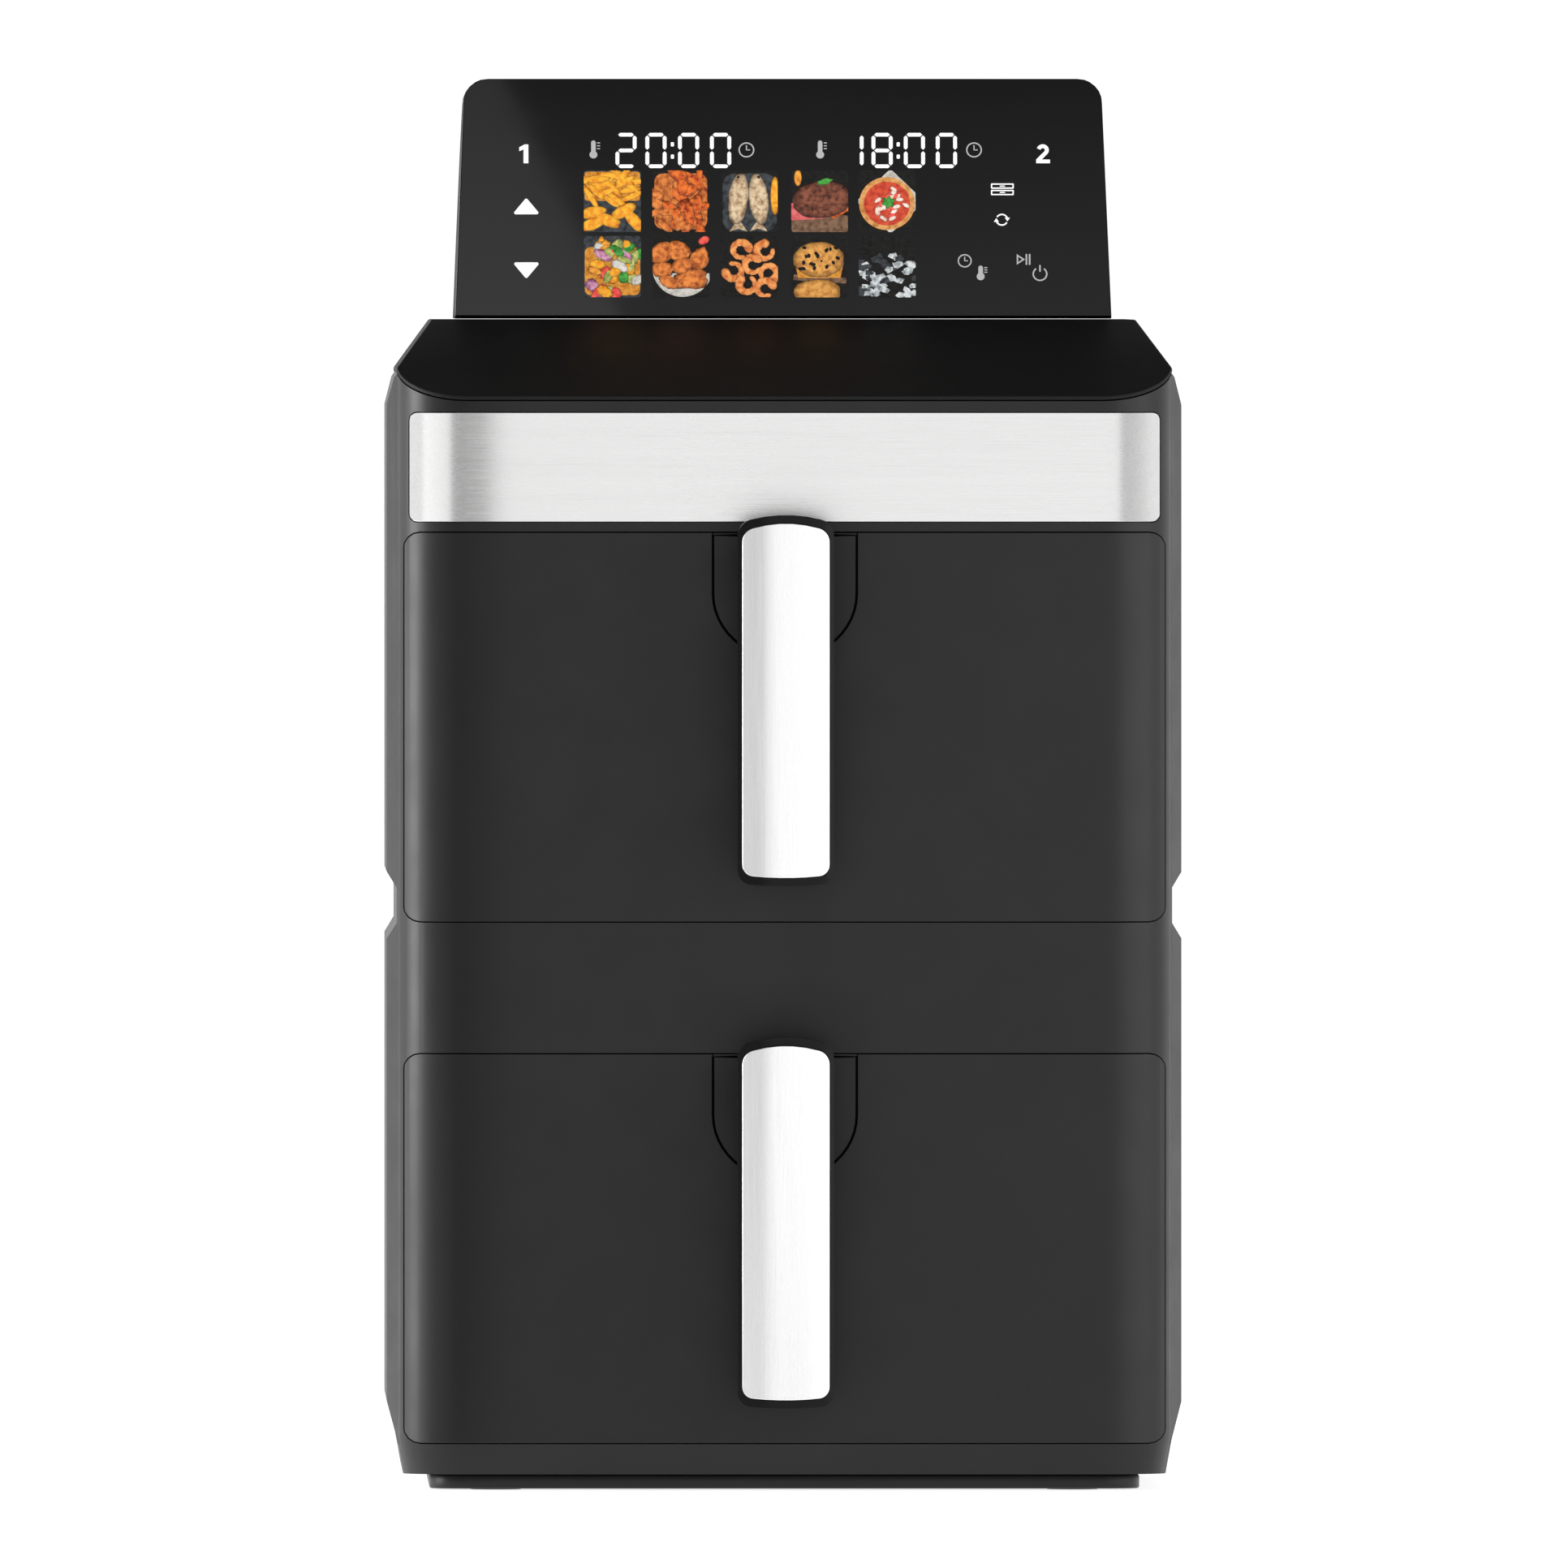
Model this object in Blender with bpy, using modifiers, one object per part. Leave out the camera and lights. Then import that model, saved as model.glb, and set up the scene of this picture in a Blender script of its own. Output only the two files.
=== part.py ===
"""Stacked two-drawer air fryer as an assembly of its separate pieces.

Metres, +Z up, front towards -Y, origin on the floor under the middle of the whole box.
"""

import math

import bmesh
import bpy
from mathutils import Matrix, Vector

# Driving dimensions of the housing
TOTAL_DEPTH = 0.380
HANDLE_REACH = 0.044
WALL_SPACER = 0.006
FRONT = HANDLE_REACH - TOTAL_DEPTH / 2
BACK = TOTAL_DEPTH / 2 - WALL_SPACER
HALF_WIDTH = 0.1318
PAD_HALF_WIDTH = 0.1350
FRONT_RADIUS = 0.024
REAR_RADIUS = 0.018
WALL = 0.0035
GAP = 0.0003
ARC_STEP = math.radians(9)

BODY_BOTTOM = 0.0055
TAPER_TOP = 0.018
TAPER_INSET = 0.0022
SIDE_SEAM = FRONT + 0.0197
FRAME_BACK = FRONT + 0.034
REAR_SEAM = BACK - 0.024

# Sloping top cap and the display that stands on it
CAP_TOP = 0.3975
CAP_THICKNESS = 0.0016
CAP_FRONT_EDGE = 0.3717
CAP_SLOPE_RUN = 0.058
CAP_SIDE_RUN = 0.0121
CAP_SIDE_DROP = 0.0166
HEIGHT = 0.4796
DISPLAY_LEAN = math.radians(18)
DISPLAY_FOOT_Y = FRONT + CAP_SLOPE_RUN + 0.005
DISPLAY_HALF_BOTTOM = 0.1117
DISPLAY_HALF_TOP = 0.1088
DISPLAY_CORNER = 0.0085
GLASS = 0.003
HOOD_TAIL = 0.106

# Drawers: both are alike, one pitch apart
LOWER_Z = 0.0162
PITCH = 0.177
DRAWER_HEIGHT = 0.132
DRAWER_HALF = 0.1293
DRAWER_CORNER = 0.0055
DRAWER_SEAM = 0.0004
SKIN = 0.003
PANEL_FRONT = FRONT + 0.008
PANEL_BACK = FRONT + 0.013
RECESS_BACK = FRONT + 0.014
MOUTH_HALF = 0.116
MOUTH_LOW = 0.005
MOUTH_HIGH = 0.126
SLIDE_PIVOT_Z = 0.060

# Cooking chamber, with heights above the drawer's lower edge
CHAMBER_HALF = 0.117
CHAMBER_BACK = 0.1410
CHAMBER_LOW = 0.0045
CHAMBER_HIGH = 0.131
SHEET = 0.0012
FLANGE_REACH = 0.0014
FAN_Y = -0.001

# Steel band across the front, above the upper drawer
BAND_HALF = 0.1274
BAND_LOW = 0.3289
BAND_HIGH = 0.3660
BAND_CORNER = 0.0026
BAND_SHEET = 0.0009
BAND_END = FRONT + 0.012

# Hollows behind the front frame's cross ribs, as lowest and highest height
RIB_POCKETS = {"middle": (0.1520, 0.1895), "top": (0.3300, 0.3620)}

# Raised side pads: foot, full height, full height and foot again, going up
PADS = {
    "lower": (0.0179, 0.0298, 0.1873, 0.1924),
    "upper": (0.2047, 0.2098, 0.3685, 0.3809),
}
PAD_ROOT = 0.1312
PAD_FULL_FRONT = FRONT + 0.030
PAD_FULL_BACK = REAR_SEAM - 0.0100

# Back: cord gland, screws, wall spacers and air outlets
GLAND_X = -0.100
GLAND_Z = 0.030
GLAND_BORE = 0.0040
SCREW_PLACES = [
    ("lower_left", -0.104, 0.056),
    ("lower_right", 0.104, 0.056),
    ("upper_left", -0.104, 0.345),
    ("upper_right", 0.104, 0.345),
]
VENT_COLUMNS = (-0.048, 0.0, 0.048)
VENT_ROWS = 4
VENT_WIDTH = 0.042
VENT_SLOT = 0.0035
VENT_PITCH = 0.0065
VENT_LOW = 0.1035
SPACER_X = 0.070
SPACER_HALF = 0.018
SPACER_LOW = 0.225
SPACER_HIGH = 0.262
SPACER_SIDE_DRAFT = 0.003
SPACER_END_DRAFT = 0.004
SPACER_ROOT = 0.0015

# Base
FOOT_PLACES = {
    "foot_front_left": (-0.098, -0.110),
    "foot_front_right": (0.098, -0.110),
    "foot_rear_left": (-0.098, 0.150),
    "foot_rear_right": (0.098, 0.150),
}
FOOT_RADIUS = 0.0095
PLINTH_BOTTOM = 0.0005
PLINTH_TOP = BODY_BOTTOM - GAP
PLINTH_INSET = 0.0112
PLINTH_EDGE = 0.0007
TRAY_SHEET = 0.003

# Behind the display
HOOD_WALL = 0.003
HOOD_SIDE_WALL = 0.004
HOOD_WINDOW_HALF = 0.092
HOOD_WINDOW_LOW = 0.411
HOOD_WINDOW_HIGH = 0.466
DISPLAY_BOARD_HALF = 0.098
DISPLAY_BOARD_LOW = 0.012
DISPLAY_BOARD_HIGH = 0.074
DISPLAY_BOARD_DEPTH = 0.009
BOARD_SHEET = 0.0016
CABLE_PASSAGE_HALF = 0.020
CABLE_PASSAGE_FRONT = 0.010
CABLE_PASSAGE_BACK = 0.034

# Heater, its guard, the probe and the air outlet, with heights above the drawer's lower edge
COIL_INNER = 0.066
COIL_OUTER = 0.088
COIL_TURNS = 1.5
COIL_TUBE = 0.0032
COIL_Z = 0.1135
COIL_POINTS = 30
PROBE_Z = 0.1120
COIL_TOP = 0.1360
COIL_BEND = 0.006
TERMINAL_HOLE = 0.0055
SHAFT_HOLE = 0.010
GUARD_RADIUS = 0.098
GUARD_LOW = 0.1050
GUARD_HIGH = 0.1065
GUARD_SPOKE = 0.0022
GUARD_WINDOWS = ((0.014, 0.048, 6), (0.054, 0.090, 10))
PROBE_Y = 0.060
PROBE_HOLE = 0.0030
OUTLET_HALF = 0.066
OUTLET_LOW = 0.1050
OUTLET_HIGH = 0.1270
DUCT_HALF = 0.072
DUCT_LOW = 0.1015
DUCT_HIGH = 0.1300

# Fan
WHEEL_RADIUS = 0.054
BLADES = 8
BLADE_LENGTH = 0.030
BLADE_SHEET = 0.0012
BLADE_HEIGHT = 0.0085
BLADE_MIDDLE = 0.034
BLADE_Z = 0.12265
BLADE_SWEEP = math.radians(28)
BRACKET_HALF = 0.042
BRACKET_DEPTH = 0.022
BRACKET_LOW = 0.1325
BRACKET_HIGH = 0.1340
BRACKET_EAR_X = (0.0335, 0.0350)
BRACKET_EAR_HALF = 0.012
BRACKET_EAR_TOP = 0.1500

# Interlock switch, its plunger and the drawer's tab that pushes it
SWITCH_X = 0.121
SWITCH_Z = 0.066
SWITCH_SLOT_HALF = 0.0035
SWITCH_SLOT_TALL = 0.006
SWITCH_HALF = 0.0030
SWITCH_TALL = 0.010
SWITCH_DEEP = 0.012
SWITCH_STAND_OFF = 0.0020
PIN_X = SWITCH_X + 0.0007
PIN_RADIUS = 0.0015
PIN_LENGTH = 0.0120
PIN_SLACK = 0.0004
PIN_TIP = FRAME_BACK - 0.0060
TAB_HALF = 0.0020
TAB_TALL = 0.004

# Handle
GRIP_HALF = 0.0163
GRIP_LOW = 0.0123
GRIP_HIGH = 0.1381
GRIP_CORNER = 0.0042
TRIM_CORNER = 0.0034
TOP_ARCH = 0.0028
BOTTOM_ARCH = 0.0010
GRIP_FRONT = FRONT - HANDLE_REACH + 0.0012
GRIP_BACK = FRONT - 0.0240
TRIM_HALF = 0.0148
TRIM_INSET = 0.0028
SHIELD_HALF = 0.0244
SHIELD_STRAIGHT = 0.0208
SHIELD_CURVE = 0.0220
CROWN = 0.0030
TRIM_CROWN = 0.0028
TRIM_POCKET = 0.0050
NECK_HALF = 0.0115
NECK_LOW = 0.0950
NECK_HIGH = 0.1290

# Basket, its bracket, and the crisper plate in it
BASKET_HALF = 0.1100
BASKET_FRONT = FRONT + 0.0220
BASKET_BACK = 0.1220
BASKET_LOW = 0.0070
BASKET_HIGH = 0.1000
BASKET_CORNER = 0.026
BASKET_DRAFT = 0.0030
BASKET_RIM = 0.0030
BASKET_SHEET = 0.0014
PLATE_LOW = 0.0200
PLATE_HALF = 0.0990
PLATE_SHEET = 0.0015
PLATE_CORNER = 0.020
PLATE_MARGIN = 0.0100
SLOT_COLUMNS = 4
SLOT_ROWS = 5
SLOT_PITCH_X = 0.044
SLOT_PITCH_Y = 0.041
SLOT_HALF = 0.015
SLOT_NARROW = 0.005
LOOP_FRONT = 0.0185
LOOP_BACK = 0.0225
RING_WIDTH = 0.0040
RING_LIP_BELOW = 0.0030
RING_LIP_ABOVE = 0.0015
BASKET_BRACKET_HALF = 0.055
BASKET_BRACKET_LOW = 0.0200
BASKET_BRACKET_HIGH = 0.0850

ZONES = {"lower": LOWER_Z, "upper": LOWER_Z + PITCH}


# Scene helpers


def clear_scene():
    for item in list(bpy.data.objects):
        bpy.data.objects.remove(item, do_unlink=True)


def make_collection(name):
    made = bpy.data.collections.new(name)
    bpy.context.scene.collection.children.link(made)
    return made


def linear(channel):
    return channel / 12.92 if channel <= 0.04045 else ((channel + 0.055) / 1.055) ** 2.4


def make_material(name, shade, roughness, metallic=0.0):
    """A Principled material from an sRGB colour of three numbers from 0 to 255."""
    material = bpy.data.materials.new(name)
    material.use_nodes = True
    shader = material.node_tree.nodes["Principled BSDF"]
    colour = [linear(channel / 255) for channel in shade]
    shader.inputs["Base Color"].default_value = (*colour, 1)
    shader.inputs["Roughness"].default_value = roughness
    shader.inputs["Metallic"].default_value = metallic
    return material


clear_scene()
FRYER = make_collection("air_fryer")
CUTTERS = make_collection("cutters")

HOUSING = make_material("housing_plastic", (48, 48, 48), 0.42)
GLOSS_BLACK = make_material("cap_plastic", (24, 24, 24), 0.25)
BRUSHED_STEEL = make_material("band_steel", (225, 225, 224), 0.32, 1.0)
BRIGHT_METAL = make_material("handle_metal", (232, 235, 236), 0.18, 1.0)
GLASS_BLACK = make_material("display_glass", (20, 20, 21), 0.08)
RUBBER = make_material("foot_rubber", (28, 28, 28), 0.8)
SILICONE = make_material("seal_silicone", (60, 60, 62), 0.7)
COATED_STEEL = make_material("coated_steel", (44, 44, 46), 0.45, 0.3)
CHAMBER_STEEL = make_material("chamber_steel", (150, 150, 148), 0.4, 1.0)
HEATER_STEEL = make_material("heater_tube", (92, 88, 84), 0.5, 1.0)
ALUMINIUM = make_material("fan_aluminium", (190, 190, 190), 0.35, 1.0)
MOTOR_STEEL = make_material("motor_steel", (110, 112, 115), 0.45, 1.0)
BOARD_GREEN = make_material("board_green", (26, 84, 52), 0.5)
SWITCH_PLASTIC = make_material("switch_plastic", (200, 198, 190), 0.5)
SCREW_STEEL = make_material("screw_steel", (160, 160, 160), 0.35, 1.0)


def add_object(name, mesh, material):
    """Puts a mesh in the scene as a piece, or as a cutter where it has no material."""
    item = bpy.data.objects.new(name, mesh)
    if material is None:
        CUTTERS.objects.link(item)
        item.hide_render = True
        item.display_type = "WIRE"
    else:
        FRYER.objects.link(item)
        mesh.materials.clear()
        mesh.materials.append(material)
    return item


def mesh_from(edit, name):
    mesh = bpy.data.meshes.new(name)
    edit.to_mesh(mesh)
    edit.free()
    return mesh


def boolean(piece, other, operation="DIFFERENCE"):
    step = piece.modifiers.new(f"{operation.lower()}_{other.name}", "BOOLEAN")
    step.operation = operation
    step.solver = "EXACT"
    step.object = other
    return piece


def smooth(piece, degrees=30):
    piece.data.shade_smooth()
    piece.data.set_sharp_from_angle(angle=math.radians(degrees))


# Shapes


def weld_and_tidy(mesh, join_flat_faces):
    edit = bmesh.new()
    edit.from_mesh(mesh)
    bmesh.ops.remove_doubles(edit, verts=edit.verts, dist=1e-6)
    if join_flat_faces:
        bmesh.ops.dissolve_limit(
            edit, angle_limit=math.radians(0.1), verts=edit.verts, edges=edit.edges
        )
    bmesh.ops.recalc_face_normals(edit, faces=edit.faces)
    edit.to_mesh(mesh)
    edit.free()


def mesh_of_curve(name, curve, place, join_flat_faces=False):
    """The curve as a closed mesh in world coordinates; the curve itself is removed."""
    helper = bpy.data.objects.new(name + "_curve", curve)
    bpy.context.scene.collection.objects.link(helper)
    graph = bpy.context.evaluated_depsgraph_get()
    mesh = bpy.data.meshes.new_from_object(helper.evaluated_get(graph))
    mesh.name = name
    bpy.data.objects.remove(helper)
    bpy.data.curves.remove(curve)
    weld_and_tidy(mesh, join_flat_faces)
    mesh.transform(place)
    return mesh


PLANES = {
    "XY": Matrix(((1, 0, 0), (0, 1, 0), (0, 0, 1))),
    "XZ": Matrix(((1, 0, 0), (0, 0, -1), (0, 1, 0))),
    "YZ": Matrix(((0, 0, 1), (1, 0, 0), (0, 1, 0))),
}


def slab(name, outlines, plane, start, end, material=None):
    """A flat outline, with any holes as further outlines, extruded across its plane."""
    curve = bpy.data.curves.new(name, "CURVE")
    curve.dimensions = "2D"
    curve.fill_mode = "BOTH"
    curve.extrude = abs(end - start) / 2
    for outline in outlines:
        spline = curve.splines.new("POLY")
        spline.points.add(len(outline) - 1)
        for point, (u, v) in zip(spline.points, outline):
            point.co = (u, v, 0, 1)
        spline.use_cyclic_u = True
    middle = (start + end) / 2
    turn = PLANES[plane].to_4x4()
    offset = {"XY": (0, 0, middle), "XZ": (0, middle, 0), "YZ": (middle, 0, 0)}[plane]
    whole = len(outlines) == 1
    mesh = mesh_of_curve(name, curve, Matrix.Translation(offset) @ turn, whole)
    return add_object(name, mesh, material)


def box(name, low, high, material=None):
    edit = bmesh.new()
    bmesh.ops.create_cube(edit, size=1)
    size = Vector(high) - Vector(low)
    bmesh.ops.scale(edit, vec=size, verts=edit.verts)
    bmesh.ops.translate(edit, vec=(Vector(high) + Vector(low)) / 2, verts=edit.verts)
    return add_object(name, mesh_from(edit, name), material)


def tapered_box(name, axis, near, far, near_rect, far_rect, material=None):
    """A box along one axis whose far face has another rectangle than its near face.

    Each rectangle is (low, high) on the two other axes, in order.
    """
    others = [i for i in range(3) if i != axis]
    edit = bmesh.new()
    bmesh.ops.create_cube(edit, size=2)
    for vert in edit.verts:
        place = near if vert.co[axis] < 0 else far
        rect = near_rect if vert.co[axis] < 0 else far_rect
        for i, (low, high) in zip(others, rect):
            vert.co[i] = low if vert.co[i] < 0 else high
        vert.co[axis] = place
    bmesh.ops.recalc_face_normals(edit, faces=edit.faces)
    return add_object(name, mesh_from(edit, name), material)


def rounded_rect(u0, u1, v0, v1, radius, steps=4):
    corners = [(u1 - radius, v0 + radius, -90), (u1 - radius, v1 - radius, 0)]
    corners += [(u0 + radius, v1 - radius, 90), (u0 + radius, v0 + radius, 180)]
    points = []
    for u, v, first in corners:
        for i in range(steps + 1):
            angle = math.radians(first + 90 * i / steps)
            points.append((u + radius * math.cos(angle), v + radius * math.sin(angle)))
    return points


def circle(u, v, radius, sides=16):
    angles = [2 * math.pi * i / sides for i in range(sides)]
    return [(u + radius * math.cos(a), v + radius * math.sin(a)) for a in angles]


def mirrored(points):
    return [(-x, y) for x, y in reversed(points)]


def right_edge(inset, y_from, y_to):
    """The housing's plan outline down its right side, moved in by inset, front to back."""
    points = []
    front_y = FRONT + FRONT_RADIUS
    rear_y = BACK - REAR_RADIUS
    if y_from < front_y:
        radius = FRONT_RADIUS - inset
        first = math.asin(min(1, (front_y - y_from) / radius))
        last = math.asin(max(0, (front_y - y_to) / radius))
        steps = max(1, math.ceil((first - last) / ARC_STEP))
        for i in range(steps + 1):
            angle = first + (last - first) * i / steps
            x = HALF_WIDTH - FRONT_RADIUS + radius * math.cos(angle)
            points.append((x, front_y - radius * math.sin(angle)))
    else:
        points.append((HALF_WIDTH - inset, y_from))
    if y_to > rear_y:
        radius = REAR_RADIUS - inset
        last = math.asin(min(1, (y_to - rear_y) / radius))
        steps = max(1, math.ceil(last / ARC_STEP))
        for i in range(steps + 1):
            angle = last * i / steps
            x = HALF_WIDTH - REAR_RADIUS + radius * math.cos(angle)
            points.append((x, rear_y + radius * math.sin(angle)))
    elif y_to > front_y:
        points.append((HALF_WIDTH - inset, y_to))
    return points


def plan_outline(inset, y_from, y_to):
    edge = right_edge(inset, y_from, y_to)
    return edge + mirrored(edge)


def front_strip(outer, inner, y_end):
    """A strip round the front of the plan outline, between two insets, back to y_end."""
    outside = right_edge(outer, FRONT + outer, y_end)
    inside = right_edge(inner, FRONT + inner, y_end)
    return mirrored(outside) + outside + list(reversed(inside)) + list(reversed(mirrored(inside)))


def turned(name, profile, centre, sides, material=None):
    """A profile of (radius, height) at +X, listed top to bottom, turned about the Z axis."""
    mesh = bpy.data.meshes.new(name)
    edit = bmesh.new()
    closed = profile[0] == profile[-1]
    places = profile[:-1] if closed else profile
    verts = [edit.verts.new((radius, 0, height)) for radius, height in places]
    pairs = list(zip(verts, verts[1:])) + ([(verts[-1], verts[0])] if closed else [])
    for first, second in pairs:
        edit.edges.new((first, second))
    edit.to_mesh(mesh)
    edit.free()
    item = add_object(name, mesh, material)
    item.location = centre
    screw = item.modifiers.new("turn", "SCREW")
    screw.steps = sides
    screw.render_steps = sides
    screw.use_merge_vertices = True
    screw.merge_threshold = 0.00005
    screw.use_smooth_shade = True
    return item


def set_origin(item, origin):
    """Moves a piece's own origin to a world point and leaves the piece where it is."""
    shift = Vector(origin) - item.location
    item.data.transform(Matrix.Translation(-shift))
    item.location = origin


def make_pivot(name, place):
    pivot = bpy.data.objects.new(name, None)
    pivot.location = place
    pivot.empty_display_size = 0.02
    FRYER.objects.link(pivot)
    return pivot


def hang_on(pivot, *items):
    """Parents pieces to a pivot and leaves them where they are."""
    for item in items:
        item.parent = pivot
        item.matrix_parent_inverse = Matrix.Translation(-Vector(pivot.location))


# Cutters that several pieces share


def body_form():
    """The housing's outer form: upright walls that lean in a little near the floor."""
    form = slab("body_form", [plan_outline(0, FRONT, BACK)], "XY", TAPER_TOP, HEIGHT)
    edit = bmesh.new()
    edit.from_mesh(form.data)
    floor = [face for face in edit.faces if face.normal.z < -0.5]
    made = bmesh.ops.extrude_face_region(edit, geom=floor)["geom"]
    verts = [item for item in made if isinstance(item, bmesh.types.BMVert)]
    bmesh.ops.delete(edit, geom=floor, context="FACES")
    middle = (FRONT + BACK) / 2
    shrink_x = 1 - TAPER_INSET / HALF_WIDTH
    shrink_y = 1 - TAPER_INSET / (BACK - middle)
    for vert in verts:
        vert.co.x *= shrink_x
        vert.co.y = middle + (vert.co.y - middle) * shrink_y
        vert.co.z = BODY_BOTTOM
    bmesh.ops.recalc_face_normals(edit, faces=edit.faces)
    edit.to_mesh(form.data)
    edit.free()
    return form


def cap_form(name, lowered):
    """The space under the cap's slopes: gentle in front, steep at the sides and back."""
    top = CAP_TOP - lowered
    floor = -0.050
    drop = top - floor
    slope = (CAP_TOP - CAP_FRONT_EDGE) / CAP_SLOPE_RUN
    front = FRONT + CAP_SLOPE_RUN
    side = HALF_WIDTH - CAP_SIDE_RUN
    back = BACK - CAP_SIDE_RUN
    spread = drop * CAP_SIDE_RUN / CAP_SIDE_DROP
    wide = ((-side - spread, side + spread), (front - drop / slope, back + spread))
    return tapered_box(name, 2, floor, top, wide, ((-side, side), (front, back)))


BODY_FORM = body_form()
UNDER_CAP = cap_form("under_cap", CAP_THICKNESS + GAP)


# Housing


def drawer_window(name, z, grow, y_from, y_to):
    outline = rounded_rect(
        -DRAWER_HALF - grow,
        DRAWER_HALF + grow,
        z - grow,
        z + DRAWER_HEIGHT + grow,
        DRAWER_CORNER + grow,
    )
    return slab(name, [outline], "XZ", y_from, y_to)


def band_piece(name, outer, inner, grow, material=None):
    strip = slab(
        name,
        [front_strip(outer, inner, BAND_END)],
        "XY",
        BAND_LOW - 0.005,
        BAND_HIGH + 0.005,
        material,
    )
    outline = rounded_rect(
        -BAND_HALF - grow, BAND_HALF + grow, BAND_LOW - grow, BAND_HIGH + grow, BAND_CORNER + grow
    )
    window = slab(name + "_window", [outline], "XZ", FRONT - 0.010, BAND_END + 0.010)
    return boolean(strip, window, "INTERSECT")


def front_frame():
    """The moulded front with the two drawer recesses, the mouths and the band's seat."""
    front = right_edge(0, FRONT, SIDE_SEAM)
    arms = right_edge(WALL + GAP, SIDE_SEAM, FRAME_BACK)
    outline = front + arms
    frame = slab(
        "front_frame", [outline + mirrored(outline)], "XY", BODY_BOTTOM, CAP_TOP, HOUSING
    )
    boolean(frame, BODY_FORM, "INTERSECT")
    boolean(frame, UNDER_CAP, "INTERSECT")
    beyond = FRAME_BACK + 0.010
    for zone, z in ZONES.items():
        recess = drawer_window(f"{zone}_recess", z, DRAWER_SEAM, FRONT - 0.010, RECESS_BACK)
        boolean(frame, recess)
        mouth = box(
            f"{zone}_mouth",
            (-MOUTH_HALF, FRONT, z + MOUTH_LOW),
            (MOUTH_HALF, beyond, z + MOUTH_HIGH),
        )
        boolean(frame, mouth)
        slot = box(
            f"{zone}_switch_slot",
            (SWITCH_X - SWITCH_SLOT_HALF, FRONT, z + SWITCH_Z - SWITCH_SLOT_TALL),
            (SWITCH_X + SWITCH_SLOT_HALF, beyond, z + SWITCH_Z + SWITCH_SLOT_TALL),
        )
        boolean(frame, slot)
    for name, (low, high) in RIB_POCKETS.items():
        pocket = box(
            f"{name}_pocket", (-MOUTH_HALF, FRONT + 0.0045, low), (MOUTH_HALF, beyond, high)
        )
        boolean(frame, pocket)
    boolean(frame, band_piece("band_seat", -0.005, 0.0012, GAP))
    smooth(frame)


def side_cover(name, side):
    """A side wall with two raised pads and a groove between them."""
    outer = right_edge(0, SIDE_SEAM + GAP, REAR_SEAM)
    inner = right_edge(WALL, SIDE_SEAM + GAP, REAR_SEAM)
    outline = outer + list(reversed(inner))
    if side < 0:
        outline = mirrored(outline)
    cover = slab(name, [outline], "XY", BODY_BOTTOM, CAP_TOP, HOUSING)
    boolean(cover, BODY_FORM, "INTERSECT")
    rise = PAD_HALF_WIDTH - HALF_WIDTH
    root_rise = PAD_HALF_WIDTH - PAD_ROOT
    y_top = (PAD_FULL_FRONT, PAD_FULL_BACK)
    y_root = (SIDE_SEAM + 2 * GAP, REAR_SEAM - GAP)
    for label, (foot_low, top_low, top_high, foot_high) in PADS.items():
        low_root = top_low - (top_low - foot_low) * root_rise / rise
        high_root = top_high + (foot_high - top_high) * root_rise / rise
        pad = tapered_box(
            f"{name}_{label}_pad",
            0,
            side * PAD_ROOT if side > 0 else side * PAD_HALF_WIDTH,
            side * PAD_HALF_WIDTH if side > 0 else side * PAD_ROOT,
            (y_root, (low_root, high_root)) if side > 0 else (y_top, (top_low, top_high)),
            (y_top, (top_low, top_high)) if side > 0 else (y_root, (low_root, high_root)),
        )
        boolean(cover, pad, "UNION")
    boolean(cover, UNDER_CAP, "INTERSECT")
    smooth(cover)


def rear_cover():
    """The back shell, with the air outlets, the wall spacers and the cord hole."""
    outer = right_edge(0, REAR_SEAM + GAP, BACK)
    inner = right_edge(WALL, REAR_SEAM + GAP, BACK - WALL)
    outline = outer + mirrored(outer) + list(reversed(mirrored(inner))) + list(reversed(inner))
    cover = slab("rear_cover", [outline], "XY", BODY_BOTTOM, CAP_TOP, HOUSING)
    boolean(cover, BODY_FORM, "INTERSECT")
    boolean(cover, UNDER_CAP, "INTERSECT")
    for side, label in ((-1, "left"), (1, "right")):
        middle = side * SPACER_X
        tip_half = SPACER_HALF - SPACER_SIDE_DRAFT
        spacer = tapered_box(
            f"{label}_spacer",
            1,
            BACK - SPACER_ROOT,
            BACK + WALL_SPACER,
            ((middle - SPACER_HALF, middle + SPACER_HALF), (SPACER_LOW, SPACER_HIGH)),
            (
                (middle - tip_half, middle + tip_half),
                (SPACER_LOW + SPACER_END_DRAFT, SPACER_HIGH - SPACER_END_DRAFT),
            ),
        )
        boolean(cover, spacer, "UNION")
    holes = [circle(GLAND_X, GLAND_Z, 0.0075)]
    holes += [circle(x, z, 0.0021, 8) for _, x, z in SCREW_PLACES]
    for z in ZONES.values():
        for x in VENT_COLUMNS:
            for row in range(VENT_ROWS):
                low = z + VENT_LOW + row * VENT_PITCH
                high = low + VENT_SLOT
                left, right = x - VENT_WIDTH / 2, x + VENT_WIDTH / 2
                holes.append([(left, low), (right, low), (right, high), (left, high)])
    boolean(cover, slab("rear_holes", holes, "XZ", BACK - 0.010, BACK + 0.002))
    smooth(cover)


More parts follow.
